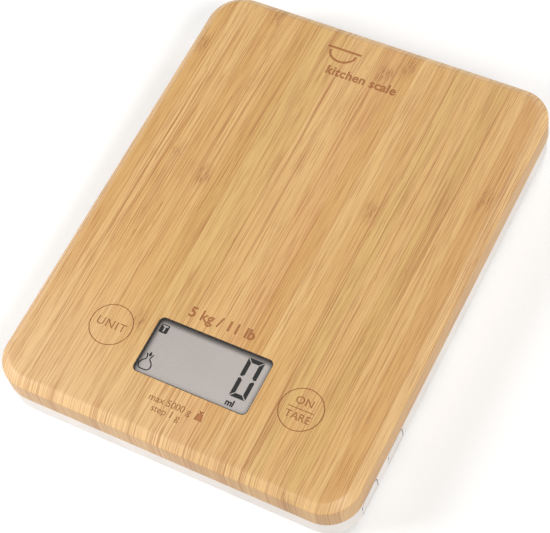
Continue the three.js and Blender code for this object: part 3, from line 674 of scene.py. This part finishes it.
# The hollows on the underside: a well round each touch spring and a pilot hole for each screw.
def hollowPlatform(platform):
    bamboo = finishes["bamboo"]
    pocketTop = platformTop - platformShape["skin"] * mm
    wellTop = platformTop - platformShape["touchSkin"] * mm
    wellRadius = platformShape["touchWell"] * mm
    tools = [roundTool("touchWell", centre[:2], wellRadius, pocketTop - mm, wellTop, bamboo)
             for centre in ringCentres.values()]
    for node in caseScrewNodes + ["frame_screw_left", "frame_screw_right"]:
        low, high = (np.array(corner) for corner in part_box(node))
        radius = platformShape["casePilot" if node in caseScrewNodes else "framePilot"] * mm
        start = platformLow[2] - mm if node in caseScrewNodes else pocketTop - mm
        end = high[2] + platformShape["pilotExtra"] * mm
        tools.append(roundTool("pilot", ((low + high) / 2)[:2], radius, start, end, bamboo, sides=24))
    boolean(platform, tools)


def engravePlatform(platform):
    cut = engraving
    bold = cut["boldness"] * mm
    tools = []
    left, right = (ringCentres[side][:2] + np.array(cut["keyShift"][side]) * mm for side in ("left", "right"))
    for side, centre in (("left", left), ("right", right)):
        tools.append(annulusTool(side + "Ring", centre, cut["ringRadius"] * mm, cut["ringWidth"] * mm))
    offset = np.array((0, cut["wordOffset"] * mm))
    tools.append(letterTool("unitWord", "UNIT", left, cut["unitHeight"] * mm, space=1.14))
    tools.append(letterTool("onWord", "ON", right + offset, cut["onHeight"] * mm, space=1.1))
    tools.append(letterTool("tareWord", "TARE", right - offset, cut["tareHeight"] * mm, space=1.02))
    bar = np.linspace((-cut["barHalf"] * mm, 0), (cut["barHalf"] * mm, 0), 6)
    tools.append(strokeTool("onTareBar", bar, cut["barWidth"] * mm, right))
    namePlace = np.array(cut["namePlace"]) * mm
    tools += boldTools("nameWord", cut["name"], namePlace, cut["nameHeight"] * mm, bold, space=1.05)
    rangePlace = np.array(cut["rangePlace"]) * mm + (0, displayY)
    tools += boldTools("rangeWord", cut["range"], rangePlace, cut["rangeHeight"] * mm, bold, space=1.02)
    for row, words in enumerate(cut["limits"]):
        down = cut["limitsPlace"][1] - row * cut["limitsPitch"]
        place = (cut["limitsPlace"][0] * mm, displayY + down * mm)
        tools.append(letterTool(f"limitsWord{row}", words, place, cut["limitsHeight"] * mm))
    tools.append(weightTool(np.array(cut["weightPlace"]) * mm + (0, displayY), cut["weightSize"] * mm))
    tools += bowlTools(np.array(cut["bowlPlace"]) * mm, cut["bowlRadius"] * mm, cut["bowlWidth"] * mm)
    boolean(platform, tools)


# A mixing bowl: half of a flattened circle under a straight rim.
def bowlTools(place, radius, width):
    turn = np.linspace(math.pi, 2 * math.pi, 25)
    side = np.stack([np.cos(turn), 0.8 * np.sin(turn)], axis=-1) * radius
    rim = np.linspace((-radius * 1.3, 0), (radius * 1.3, 0), 6)
    return [strokeTool("bowlSide", side, width, place - (0, width * 0.9)),
            strokeTool("bowlRim", rim, width, place + (0, width * 0.5))]


# A balance weight: a block that narrows upwards under a small knob.
def weightTool(place, size):
    low, high = grooveDepth()
    outline = np.array([(-0.42, -0.5), (0.42, -0.5), (0.27, 0.2), (0.09, 0.24), (0.09, 0.3), (0.2, 0.36),
                        (0.2, 0.5), (-0.2, 0.5), (-0.2, 0.36), (-0.09, 0.3), (-0.09, 0.24), (-0.27, 0.2)])
    return prism("weightMark", outline * size + place, low, high, finishes["burn"])


# A flat outline made solid between two heights.
def prism(name, outline, low, high, finish):
    return stack(name, [lifted(outline, low), lifted(outline, high)], finish)


platform = makePlatform()
hollowPlatform(platform)
engravePlatform(platform)
install(platform, ["bamboo_platform"])
print("platform:", len(platform.data.polygons), "faces")


baseShape = {
    "cornerRadius": 15.4,  # mm, and so are the rest
    "wall": 2.2,
    "floor": 2.0,
    "lowerRadius": 2.0,
    "wallStart": 4.0,  # where the rounded lower edge has passed into the wall
    "floorRun": 2.0,
    "rimBreak": 0.25,
    "floorFillet": 0.8,
    "footHole": 10.3,
    "headHole": 3.5,
    "shankHole": 1.9,
    "headDepth": 4.0,
    "bossRadius": 4.4,
    "clampBossRadius": 3.0,
    "clampHole": 1.5,
    "tipGap": 0.4,
    "seatGap": 0.3,
    "restHalf": 2.5,
    "restRadius": 0.3,
    "pocketWidth": 14.5,
    "pocketLow": 1.4,
    "pocketHigh": 1.25,
    "pocketTopRadius": 3.0,
    "pocketLowRadius": 1.2,
    "pocketSweep": 6.5,
    "pocketSink": 1.3,
    "mouthWidth": 9.6,
    "mouthHeight": 3.8,
}


# A port's outline in the plane of the side wall: u runs along Y and v is the height. Its corners are quarter
# turns, larger at the top, and the top one at the front is swept into a quarter of an ellipse.
def portRing(width, height, topRadius, lowRadius, inset=0.0, sweep=None, steps=9):
    quarter = np.linspace(0, math.pi / 2, steps)
    turns = np.concatenate([quarter + k * math.pi / 2 for k in range(4)])
    radius = np.repeat([topRadius, topRadius, lowRadius, lowRadius], steps)
    radiusU = np.repeat([topRadius, sweep or topRadius, lowRadius, lowRadius], steps)
    signU = np.repeat([1, -1, -1, 1], steps)
    centreU = signU * (width / 2 - radiusU)
    centreV = np.where(np.repeat([1, 1, 0, 0], steps) == 1, height - radius, radius)
    u = centreU + (radiusU - inset) * np.cos(turns)
    v = centreV + (radius - inset) * np.sin(turns)
    return np.stack([u, v], axis=-1)


def onWall(ring, x, middleY, lowZ):
    return np.column_stack([np.full(len(ring), x), ring[:, 0] + middleY, ring[:, 1] + lowZ])


# Rings standing in planes across X, at the given depths, closed at both ends.
def wallStack(name, rings, depths, middleY, lowZ, finish):
    return stack(name, [onWall(ring, x, middleY, lowZ) for ring, x in zip(rings, depths)], finish)


axisRadius = 0.02 * mm  # where turned shapes begin and end, a hair from their axis


# A profile of (radius, height) carried round a vertical line.
def turned(name, profile, centre, finish, sides):
    return stack(name, [lifted(circle(sides) * radius, z, centre) for radius, z in profile], finish)


def middleOf(node):
    low, high = (np.array(corner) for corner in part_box(node))
    return (low + high) / 2


# The base is a tray of rings: out over the rounded lower edge, up the wall, over the rim and down inside to
# the floor.
def makeBase():
    shape = {key: value * mm for key, value in baseShape.items()}
    halfX, halfY = baseHigh[0], baseHigh[1]
    ground, top = baseLow[2], baseHigh[2]
    white = finishes["white_plastic"]
    turn = np.linspace(0, math.pi / 2, 9)
    lower = np.column_stack([
        shape["lowerRadius"] * (1 - np.sin(turn)), ground + shape["lowerRadius"] * (1 - np.cos(turn))])
    wall, floorTop = shape["wall"], ground + shape["floor"]
    inner = softLine(
        [(0, ground + shape["wallStart"]), (0, top), (wall, top), (wall, floorTop),
         (wall + shape["floorRun"], floorTop)],
        [0, shape["rimBreak"], shape["rimBreak"], shape["floorFillet"], 0], steps=4)
    section = np.concatenate([lower, inner])
    rings = [lifted(roundedRing(halfX - inset, halfY - inset, shape["cornerRadius"] - inset), z)
             for inset, z in section]
    base = stack("mouldedBase", rings, white)

    floorMiddle = ground + shape["floor"] / 2
    joins, cuts = [], []
    for node in caseScrewNodes:
        centre = middleOf(node)[:2]
        joins.append(roundTool("boss", centre, shape["bossRadius"], floorMiddle, top, white))
        seat = ground + shape["headDepth"]
        cuts.append(roundTool("head", centre, shape["headHole"], ground - mm, seat, white))
        cuts.append(roundTool("shank", centre, shape["shankHole"], ground + mm, top + mm, white, sides=32))
    for node in footNodes:
        corner = node[len("foot_pad_"):]
        cellLow, cellHigh = (np.array(point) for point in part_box("load_cell_" + corner))
        centre = (cellLow + cellHigh) / 2
        for signX in (-1, 1):
            for signY in (-1, 1):
                half = shape["restHalf"]
                reach = (cellHigh[:2] - cellLow[:2]) / 2 - half
                middle = centre[:2] + reach * (signX, signY)
                ring = roundedRing(half, half, shape["restRadius"], steps=3)
                joins.append(stack("rest", [lifted(ring, floorMiddle, middle),
                                            lifted(ring, cellLow[2] - shape["seatGap"], middle)], white))
        for side in ("front", "rear"):
            screwLow, screwHigh = (np.array(point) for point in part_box(f"clamp_screw_{corner}_{side}"))
            middle = (screwLow[:2] + screwHigh[:2]) / 2
            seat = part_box("cell_clamp_" + corner)[0][2]
            joins.append(roundTool("clampBoss", middle, shape["clampBossRadius"], floorMiddle,
                                   seat - shape["seatGap"], white, sides=32))
            cuts.append(roundTool("clampHole", middle, shape["clampHole"], screwLow[2] - shape["tipGap"],
                                  screwHigh[2], white, sides=24))
        cuts.append(roundTool("footHole", centre[:2], shape["footHole"], ground - mm,
                              ground + shape["floor"] + mm, white, sides=72))
    height = top - ground - shape["pocketLow"] - shape["pocketHigh"]
    for node in coverNodes:
        middleY = middleOf(node)[1]
        pocket = portRing(shape["pocketWidth"], height, shape["pocketTopRadius"], shape["pocketLowRadius"],
                          sweep=shape["pocketSweep"])
        cuts.append(wallStack("pocket", [pocket, pocket], [halfX - shape["pocketSink"], halfX + mm],
                              middleY, ground + shape["pocketLow"], white))
        half = shape["mouthHeight"] / 2
        mouth = roundedRing(shape["mouthWidth"] / 2, half, half - 0.1 * mm)
        cuts.append(wallStack("mouth", [mouth, mouth], [halfX - shape["wall"] - mm, halfX],
                              middleY, ground + shape["pocketLow"] + height / 2, white))
    boolean(base, joins, "UNION")
    boolean(base, cuts)
    return base


base = makeBase()
install(base, ["base_housing"])
print("base:", len(base.data.polygons), "faces")


coverShape = {
    "width": 13.5,  # mm, and so are the rest
    "height": 8.04,
    "thick": 0.9,
    "topRadius": 2.6,
    "lowRadius": 0.8,
    "sweep": 6.1,
    "softness": 0.32,
    "plugDepth": 1.1,
    "plugWidth": 7.4,
    "plugHeight": 1.6,
    "plugLead": 0.15,
    "plugOverlap": 0.4,
    "nickWidth": 4.6,
    "nickHalf": 0.6,
    "nickRadius": 0.55,
    "nickDown": 0.75,
    "nickDepth": 0.35,
    # painted shade: a dark strip standing in for the shaded gap round each port cover
    "gapShadeThick": 0.44,
    "gapShadeSink": 0.04,
    "gapShadePlug": 0.4,
    "gapShadeBack": 0.02,  # clear of the pocket's back, and then of its outline
    "gapShadeInset": 0.01,
    "gapShadeRise": 0.06,
}
plugTaper = 0.94


# A soft flap whose outer edge is rounded by a quarter turn, a tongue behind it and a nail nick at its top.
def makeCover(node, name):
    shape = {key: value * mm for key, value in coverShape.items()}
    soft = finishes["cover_silicone"]
    low, high = (np.array(corner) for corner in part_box(node))
    outer = high[0]
    turn = np.linspace(0, math.pi / 2, 6)
    insets = np.concatenate([[0.0], shape["softness"] * (1 - np.cos(turn))])
    depths = np.concatenate([
        [outer - shape["thick"]], outer - shape["softness"] * (1 - np.sin(turn))])
    outline = [shape[key] for key in ("width", "height", "topRadius", "lowRadius")]
    rings = [portRing(*outline, inset, shape["sweep"]) for inset in insets]
    middleY = (low[1] + high[1]) / 2
    cover = wallStack(name, rings, depths, middleY, low[2], soft)
    pocketHeight = (baseShape["pocketLow"] + baseShape["pocketHigh"]) * mm
    plugZ = baseLow[2] + baseShape["pocketLow"] * mm + (baseHigh[2] - baseLow[2] - pocketHeight) / 2
    plug = roundedRing(shape["plugWidth"] / 2, shape["plugHeight"] / 2, shape["plugHeight"] / 2 - 0.1 * mm)
    back = outer - shape["thick"]
    tip = back - shape["plugDepth"]
    tongue = wallStack("tongue", [plug * plugTaper, plug, plug],
                       [tip, tip + shape["plugLead"], back + shape["plugOverlap"]], middleY, plugZ, soft)
    boolean(cover, [tongue], "UNION")
    nick = roundedRing(shape["nickWidth"] / 2, shape["nickHalf"], shape["nickRadius"])
    boolean(cover, [wallStack("nick", [nick, nick], [outer - shape["nickDepth"], outer + mm],
                              middleY, low[2] + shape["height"] - shape["nickDown"], soft)])
    return cover


# A thin dark strip over the top and down the front end of a port's pocket, painted shade for the shaded gap
# round the cover: a strip carried along the outline, with a round plug at each of its ends.
def makeGapShadeStrip(node, name):
    shape = {key: value * mm for key, value in baseShape.items()}
    cover = {key: value * mm for key, value in coverShape.items()}
    height = baseHigh[2] - baseLow[2] - shape["pocketLow"] - shape["pocketHigh"]
    middleY, lowZ = middleOf(node)[1], baseLow[2] + shape["pocketLow"]
    back = baseHigh[0] - shape["pocketSink"] + cover["gapShadeBack"]
    front = baseHigh[0] - cover["gapShadeSink"]
    outline = (shape["pocketWidth"], height, shape["pocketTopRadius"], shape["pocketLowRadius"])
    outer, inner = cover["gapShadeInset"], cover["gapShadeThick"]
    edges = []
    for inset, x in ((outer, back), (outer, front), (inner, front), (inner, back)):
        # From partway round the rear top corner to the end of the front one.
        ring = portRing(*outline, inset, shape["pocketSweep"])[3:18]
        edges.append(onWall(ring, x, middleY, lowZ))
    gapShadeStrip = rail(name, edges, finishes["dark_plastic"])
    plug = circle(20) * cover["gapShadePlug"]
    tools = []
    for end in (0, -1):
        middle = np.array([edge[end, 1:] for edge in edges]).mean(axis=0)
        tools.append(wallStack("plug", [plug, plug], [back, front + cover["gapShadeRise"]],
                               middle[0], middle[1], finishes["dark_plastic"]))
    boolean(gapShadeStrip, tools, "UNION")
    return gapShadeStrip


for node, name in coverNodes.items():
    cover = makeCover(node, name)
    install(cover, [node], body=node)
    install(makeGapShadeStrip(node, name + "GapShade"))
print("port covers:", len(coverNodes))


footShape = {
    "padBreak": 0.45,  # mm, and so are the rest
    "grooves": (3.2, 5.9),
    "grooveWidth": 0.8,
    "grooveDepth": 0.35,
    "padRun": 1.4,
    "carrierBreak": 0.4,
    "flangeLip": 2.0,
    "flangeLift": 2.4,
    "flangeThick": 1.2,
    "flangeBreak": 0.2,
    "bossRadius": 3.5,
    "bossBreak": 0.3,
}


# A rubber pad with two shallow rings in its sole, and the moulded foot above it.
def makeFoot(node):
    low, high = (np.array(corner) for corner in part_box(node))
    middle = ((low + high) / 2)[:2]
    radius = (high[0] - low[0]) / 2
    edge = footShape["padBreak"] * mm
    sole = [(axisRadius, low[2])]
    for groove in footShape["grooves"]:
        half, deep = footShape["grooveWidth"] / 2, footShape["grooveDepth"] * mm
        sole += [((groove - half) * mm, low[2]), ((groove - half * 0.6) * mm, low[2] + deep),
                 ((groove + half * 0.6) * mm, low[2] + deep), ((groove + half) * mm, low[2])]
    inner = radius - footShape["padRun"] * mm
    outer = softLine([(inner, low[2]), (radius, low[2]), (radius, high[2]), (inner, high[2])],
                     [0, edge, edge, 0])
    profile = sole + [tuple(point) for point in outer] + [(axisRadius, high[2])]
    pad = turned("pad_" + node[len("foot_pad_"):], profile, middle, finishes["foot_rubber"], sides=72)
    install(pad, [node])

    carrierNode = node.replace("foot_pad", "foot_carrier")
    low, high = (np.array(corner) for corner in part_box(carrierNode))
    flange = (high[0] - low[0]) / 2
    radius = flange - footShape["flangeLip"] * mm
    flangeLow = baseLow[2] + footShape["flangeLift"] * mm
    flangeHigh = flangeLow + footShape["flangeThick"] * mm
    boss = footShape["bossRadius"] * mm
    flangeBreak, bossBreak = footShape["flangeBreak"] * mm, footShape["bossBreak"] * mm
    line = softLine(
        [(axisRadius, low[2]), (radius, low[2]), (radius, flangeLow), (flange, flangeLow),
         (flange, flangeHigh), (boss, flangeHigh), (boss, high[2]), (axisRadius, high[2])],
        [0, footShape["carrierBreak"] * mm, flangeBreak, flangeBreak, flangeBreak, bossBreak, bossBreak, 0])
    carrier = turned("carrier_" + node[len("foot_pad_"):], line, middle, finishes["white_plastic"], sides=72)
    install(carrier, [carrierNode])


for node in footNodes:
    makeFoot(node)
print("feet:", len(footNodes))


screwShape = {
    "headHeight": 2.4,  # mm, and so are the rest
    "headDome": 0.55,
    "shankRadius": 1.6,
    "plainLength": 1.5,
    "tipLength": 1.2,
    "tipRadius": 0.3,
    "tipDome": 0.05,
    "rimHeight": 0.3,
    "rimWidth": 0.25,
    "crossWidth": 0.75,
    "crossReach": 1.75,
    "crossDepth": 1.3,
    "pitch": 1.2,
    "threadDepth": 0.22,
}


# A pan head with a crossed recess, and a shank whose radius swells and shrinks once for each turn of its
# thread.
def makeCaseScrew(node):
    low, high = (np.array(corner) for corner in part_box(node))
    middle = ((low + high) / 2)[:2]
    head = (high[0] - low[0]) / 2
    seat = low[2] + screwShape["headHeight"] * mm
    shank = screwShape["shankRadius"] * mm
    dome = screwShape["headDome"] * mm
    turn = np.linspace(0, math.pi / 2, 7)
    cap = np.column_stack([head * (0.72 + 0.28 * np.sin(turn)), low[2] + dome * (1 - np.cos(turn))])
    threadFrom = seat + screwShape["plainLength"] * mm
    rows = np.linspace(threadFrom, high[2] - screwShape["tipLength"] * mm, 73)
    wave = 0.5 - 0.5 * np.cos((rows - threadFrom) / (screwShape["pitch"] * mm) * 2 * math.pi)
    thread = np.column_stack([shank - screwShape["threadDepth"] * mm * (1 - wave), rows])
    rimLow, rimRadius = seat - screwShape["rimHeight"] * mm, head - screwShape["rimWidth"] * mm
    tip = (screwShape["tipRadius"] * mm, high[2] - screwShape["tipDome"] * mm)
    profile = np.concatenate([
        [(axisRadius, low[2])], cap, [(head, rimLow), (rimRadius, seat), (shank, seat)],
        thread, [tip, (axisRadius, high[2])]])
    screw = turned("screw_" + node[len("case_screw_"):], profile, middle, finishes["screw_steel"], sides=40)
    half, reach = screwShape["crossWidth"] / 2 * mm, screwShape["crossReach"] * mm
    arm = np.array([(reach, -half), (reach, half), (half, half), (half, reach), (-half, reach), (-half, half),
                    (-reach, half), (-reach, -half), (-half, -half), (-half, -reach), (half, -reach),
                    (half, -half)])
    depth = screwShape["crossDepth"] * mm
    rings = [lifted(arm * 1.05, low[2] - 0.5 * mm, middle), lifted(arm, low[2], middle),
             lifted(arm * 0.45, low[2] + depth, middle)]
    boolean(screw, [stack("cross", rings, finishes["screw_steel"])])
    install(screw, [node])


for node in caseScrewNodes:
    makeCaseScrew(node)
print("case screws:", len(caseScrewNodes))


displayShape = {
    "lensRadius": 2.3,  # mm, and so are the rest
    "lensSoftness": 0.22,
    "lensRun": 0.6,
    # painted shade: a dark ring in the gap round the lens
    "shadeSealLow": 1.75,  # below the platform's top
    "shadeSealHigh": 0.16,
    "shadeSealInner": 0.02,  # outside the lens
    "shadeSealOuter": 0.17,
    "glassLow": 1.84,
    "glassThick": 0.12,
    "glassMargin": 0.35,
    "inkThick": 0.025,
    "digitPlace": (16.0, -7.2),
    "digitSize": (7.6, 19.0),
    "barThick": 1.95,
    "barGap": 0.3,
    "unitPlace": (18.1, -10.4),
    "unitHeight": 2.8,
    "tarePlace": (-24.0, 9.2),
    "tareSize": 3.9,
    "jugPlace": (-23.6, -7.4),
    "jugSize": 7.6,
    "jugLine": 0.54,
    "badgeRadius": 0.6,
    "unitBold": 0.17,
    "tareBold": 0.16,
    "leftShadeFrom": -0.3,  # inwards from the lens's left edge, and then from its back edge
    "leftShadeTo": 2.0,
    "backShadeTo": 3.0,
}


def makeLens():
    soft = displayShape["lensSoftness"] * mm
    half = (lensHigh - lensLow) / 2
    run = displayShape["lensRun"] * mm
    section = softLine([(run, lensLow[2]), (0, lensLow[2]), (0, lensHigh[2]), (run, lensHigh[2])],
                       [0, soft, soft, 0], steps=4)
    rings = [lifted(roundedRing(half[0] - inset, half[1] - inset, displayShape["lensRadius"] * mm - inset), z,
                    (0, displayY)) for inset, z in section]
    return stack("windowLens", rings, finishes["lens"])


# A thin dark ring that fills the gap between the lens and the bamboo; its dark colour is painted shade,
# a near-black line along the window's back and left edges.
def makeShadeSeal():
    half = (lensHigh - lensLow) / 2
    low = platformTop - displayShape["shadeSealLow"] * mm
    high = platformTop - displayShape["shadeSealHigh"] * mm
    radius = displayShape["lensRadius"] * mm
    inner, outer = (roundedRing(half[0] + gap, half[1] + gap, radius + gap)
                    for gap in (displayShape["shadeSealInner"] * mm, displayShape["shadeSealOuter"] * mm))
    centre = (0, displayY)
    rings = [lifted(inner, low, centre), lifted(outer, low, centre),
             lifted(outer, high, centre), lifted(inner, high, centre)]
    return addPiece("windowShadeSeal", np.concatenate(rings), ringQuads(4, len(inner), closed=True),
                    finishes["dark_plastic"])


def makeGlass():
    half = (lensHigh - lensLow) / 2 - displayShape["glassMargin"] * mm + platformShape["lensGap"] * mm
    low = platformTop - displayShape["glassLow"] * mm
    high = low + displayShape["glassThick"] * mm
    ring = roundedRing(half[0], half[1], displayShape["lensRadius"] * mm)
    return stack("displayGlass", [lifted(ring, low, (0, displayY)), lifted(ring, high, (0, displayY))],
                 finishes["glass"])


# The six lit bars of a nought: each is a line of its own whose ends are cut to a point or a mitre.
def noughtBars(corner, size, thick, gap):
    x0, y0 = corner
    x1, y1 = x0 + size[0], y0 + size[1]
    ym = (y0 + y1) / 2
    g, t = gap, thick
    level = [(x0 + g, y1), (x1 - g, y1), (x1 - t - g, y1 - t), (x0 + t + g, y1 - t)]
    upright = [(x0, y1 - g), (x0 + t, y1 - t - g), (x0 + t, ym + t * 0.62), (x0 + t * 0.45, ym + g),
               (x0, ym + t * 0.35)]
    bars = []
    for flipX in (False, True):
        for flipY in (False, True):
            bars.append([(x0 + x1 - x if flipX else x, 2 * ym - y if flipY else y) for x, y in upright])
    bars.append(level)
    bars.append([(x, 2 * ym - y) for x, y in level])
    return [np.array(bar) for bar in bars]


# A flask with a flared neck: one side's outline as a line with softened corners, mirrored to the other side.
def flaskLine(place, size):
    half = softLine([(0, -0.5), (0.41, -0.5), (0.36, -0.05), (0.07, 0.18), (0.2, 0.5)],
                    [0, 0.34, 0.2, 0.14, 0], steps=9)
    full = np.concatenate([half[::-1] * (-1, 1), half[1:]])
    return full * size + place


def makeInk():
    shape = displayShape
    low = platformTop - (shape["glassLow"] - shape["glassThick"]) * mm
    high = low + shape["inkThick"] * mm
    ink = finishes["ink"]
    centre = np.array((0, displayY))
    corner = centre + np.array(shape["digitPlace"]) * mm
    pieces = [prism("bar", bar, low, high, ink) for bar in noughtBars(
        corner, np.array(shape["digitSize"]) * mm, shape["barThick"] * mm, shape["barGap"] * mm)]

    def word(text, place, height, bold):
        spot = centre + np.array(place) * mm
        return letters("word", text, spot, height * mm, low, high, ink, thin=-bold * mm)

    pieces.append(word("ml", shape["unitPlace"], shape["unitHeight"], shape["unitBold"]))
    tare = roundedRing(shape["tareSize"] / 2 * mm, shape["tareSize"] * 0.53 * mm, shape["badgeRadius"] * mm,
                       steps=6)
    badge = prism("badge", tare + centre + np.array(shape["tarePlace"]) * mm, low, high, ink)
    letter = word("T", shape["tarePlace"], shape["tareSize"] * 0.7, shape["tareBold"])
    stretchZ(letter, (low + high) / 2, 3.0)
    boolean(badge, [letter])
    pieces.append(badge)
    flask = flaskLine(centre + np.array(shape["jugPlace"]) * mm, shape["jugSize"] * mm)
    pieces.append(flatStroke("flask", flask, shape["jugLine"] * mm, low, high, ink))
    # A drop: a circle whose width shrinks to nothing at its top.
    turn = np.linspace(0, 2 * math.pi, 24, endpoint=False)
    drop = np.column_stack([0.12 * np.sin(turn) * (0.6 - 0.4 * np.cos(turn)), 0.15 * np.cos(turn)])
    dropPlace = centre + (np.array(shape["jugPlace"]) + (0, 0.5 * shape["jugSize"])) * mm
    pieces.append(prism("drop", drop * shape["jugSize"] * mm + dropPlace, low, high, ink))
    return joinPieces("displaySegments", pieces)


def stretchZ(piece, middle, factor):
    mesh = piece.data
    points = np.empty(len(mesh.vertices) * 3)
    mesh.vertices.foreach_get("co", points)
    points[2::3] = middle + (points[2::3] - middle) * factor
    mesh.vertices.foreach_set("co", points)
    mesh.update()


# A band of even width along a line of points, made solid between two heights.
def flatStroke(name, line, width, low, high, finish):
    tangent = np.gradient(line, axis=0)
    tangent /= np.linalg.norm(tangent, axis=1, keepdims=True)
    side = np.stack([-tangent[:, 1], tangent[:, 0]], axis=-1) * width / 2
    outline = np.concatenate([line + side, (line - side)[::-1]])
    count = len(line)
    points = np.concatenate([lifted(outline, low), lifted(outline, high)])
    total = len(outline)
    i = np.arange(count - 1)
    lower = np.stack([i, i + 1, total - 2 - i, total - 1 - i], axis=-1)
    faces = ringQuads(2, total) + lower[:, ::-1].tolist() + (lower + total).tolist()
    return addPiece(name, points, faces, finish)


# Several meshes as one piece.
def joinPieces(name, pieces):
    work = bmesh.new()
    for piece in pieces:
        work.from_mesh(piece.data)
    mesh = bpy.data.meshes.new(name)
    work.to_mesh(mesh)
    work.free()
    mesh.materials.append(pieces[0].data.materials[0])
    for piece in pieces:
        bpy.data.objects.remove(piece)
    joined = bpy.data.objects.new(name, mesh)
    bpy.context.scene.collection.objects.link(joined)
    return joined


# The glass of the display darkens towards its back and left edges, where the frame's deep walls shade it.
def glassFinish():
    finish = Finish("shadedGlass")
    place = finish.place()
    x, y = finish.axes(place)[:2]
    film = finish.grain(place, (2200, 2200, 2200), 1.0)
    drift = finish.grain(place, (22, 30, 22), 1.0)
    left = lensLow[0]
    back = lensHigh[1]
    shape = displayShape
    leftShade = 1.0 - finish.rise(x - left, shape["leftShadeFrom"] * mm, shape["leftShadeTo"] * mm)
    backShade = 1.0 - finish.rise(back - y, 0.0, shape["backShadeTo"] * mm)
    depth = 1.0 - (1.0 - leftShade) * (1.0 - backShade)
    colour = finish.blend(finish.rise(drift, 0.3, 0.7), tint(181, 172, 167), tint(189, 180, 175))
    colour = finish.blend(depth * 0.86, colour, tint(34, 31, 31))
    finish.surface(
        colour=colour,
        rough=0.36 + 0.08 * film,
        normal=finish.bump(film, 0.002 * mm),
    )
    return finish.material


finishes["glass"] = glassFinish()
install(makeLens(), ["display_lens"])
install(makeShadeSeal())
install(makeGlass())
install(makeInk())
print("display made")


# Floor, lights and camera.
studio = {
    "camera": (258.76, -315.90, 697.04),  # mm
    "aim": (6.65, -16.28, 29.3),
    "roll": -14.96,  # degrees
    "lens": 117.86,  # mm, and so is the sensor
    "sensor": 36.0,
    "clip": (0.01, 20.0),  # m
    "floorColour": (250, 250, 250),
    "floorReach": 3.0,  # m, and so are the lights' places, aims and sizes
    "worldStrength": 0.4,
    "worldColour": (1.0, 0.995, 0.985, 1.0),
    "lights": (
        # name, place, aim, size, watts, colour
        ("keyLight", (1.9, -0.9, 1.9), (0, 0, 0.02), (1.1, 0.9), 41.0, (1.0, 0.985, 0.96)),
        ("fillLight", (-0.6, -0.4, 0.46), (-0.05, -0.08, 0.02), (0.4, 0.4), 4.5, (1.0, 0.99, 0.97)),
        ("backLight", (0.3, 0.95, 0.85), (0, 0, 0.02), (1.0, 0.5), 5.8, (0.98, 0.99, 1.0)),
    ),
}


def makeFloor():
    reach = studio["floorReach"]
    grid = [(-reach, -reach, 0), (reach, -reach, 0), (reach, reach, 0), (-reach, reach, 0)]
    finish = Finish("paleFloor")
    cloud = finish.grain(finish.place(), (3, 3, 3), 2.0)
    pale = studio["floorColour"]
    finish.surface(
        colour=finish.blend(cloud, tint(*(channel * 0.99 for channel in pale)), tint(*pale)),
        rough=0.7 + 0.1 * cloud,
    )
    floor = addPiece("floor", grid, [[0, 1, 2, 3]], finish.material)


def softBox(name, place, aim, size, power, colour):
    data = bpy.data.lights.new(name, "AREA")
    data.shape = "RECTANGLE"
    data.size, data.size_y = size
    data.energy = power
    data.color = colour
    lamp = bpy.data.objects.new(name, data)
    lamp.location = place
    lamp.rotation_euler = (Vector(aim) - Vector(place)).to_track_quat("-Z", "Y").to_euler()
    bpy.context.scene.collection.objects.link(lamp)


def makeStudio():
    world = bpy.data.worlds.new("studioWorld")
    world.use_nodes = True
    background = world.node_tree.nodes["Background"]
    background.inputs["Color"].default_value = studio["worldColour"]
    background.inputs["Strength"].default_value = studio["worldStrength"]
    scene = bpy.context.scene
    scene.world = world
    scene.view_settings.view_transform = "Standard"
    for light in studio["lights"]:
        softBox(*light)
    data = bpy.data.cameras.new("studioCamera")
    data.lens = studio["lens"]
    data.sensor_width = studio["sensor"]
    data.clip_start, data.clip_end = studio["clip"]
    camera = bpy.data.objects.new("studioCamera", data)
    place, aim = Vector(studio["camera"]) * mm, Vector(studio["aim"]) * mm
    camera.rotation_mode = "QUATERNION"
    camera.location = place
    level = (aim - place).to_track_quat("-Z", "Y")
    camera.rotation_quaternion = level @ Quaternion((0, 0, 1), math.radians(studio["roll"]))
    scene.collection.objects.link(camera)
    scene.camera = camera


makeFloor()
makeStudio()
bpy.context.view_layer.update()
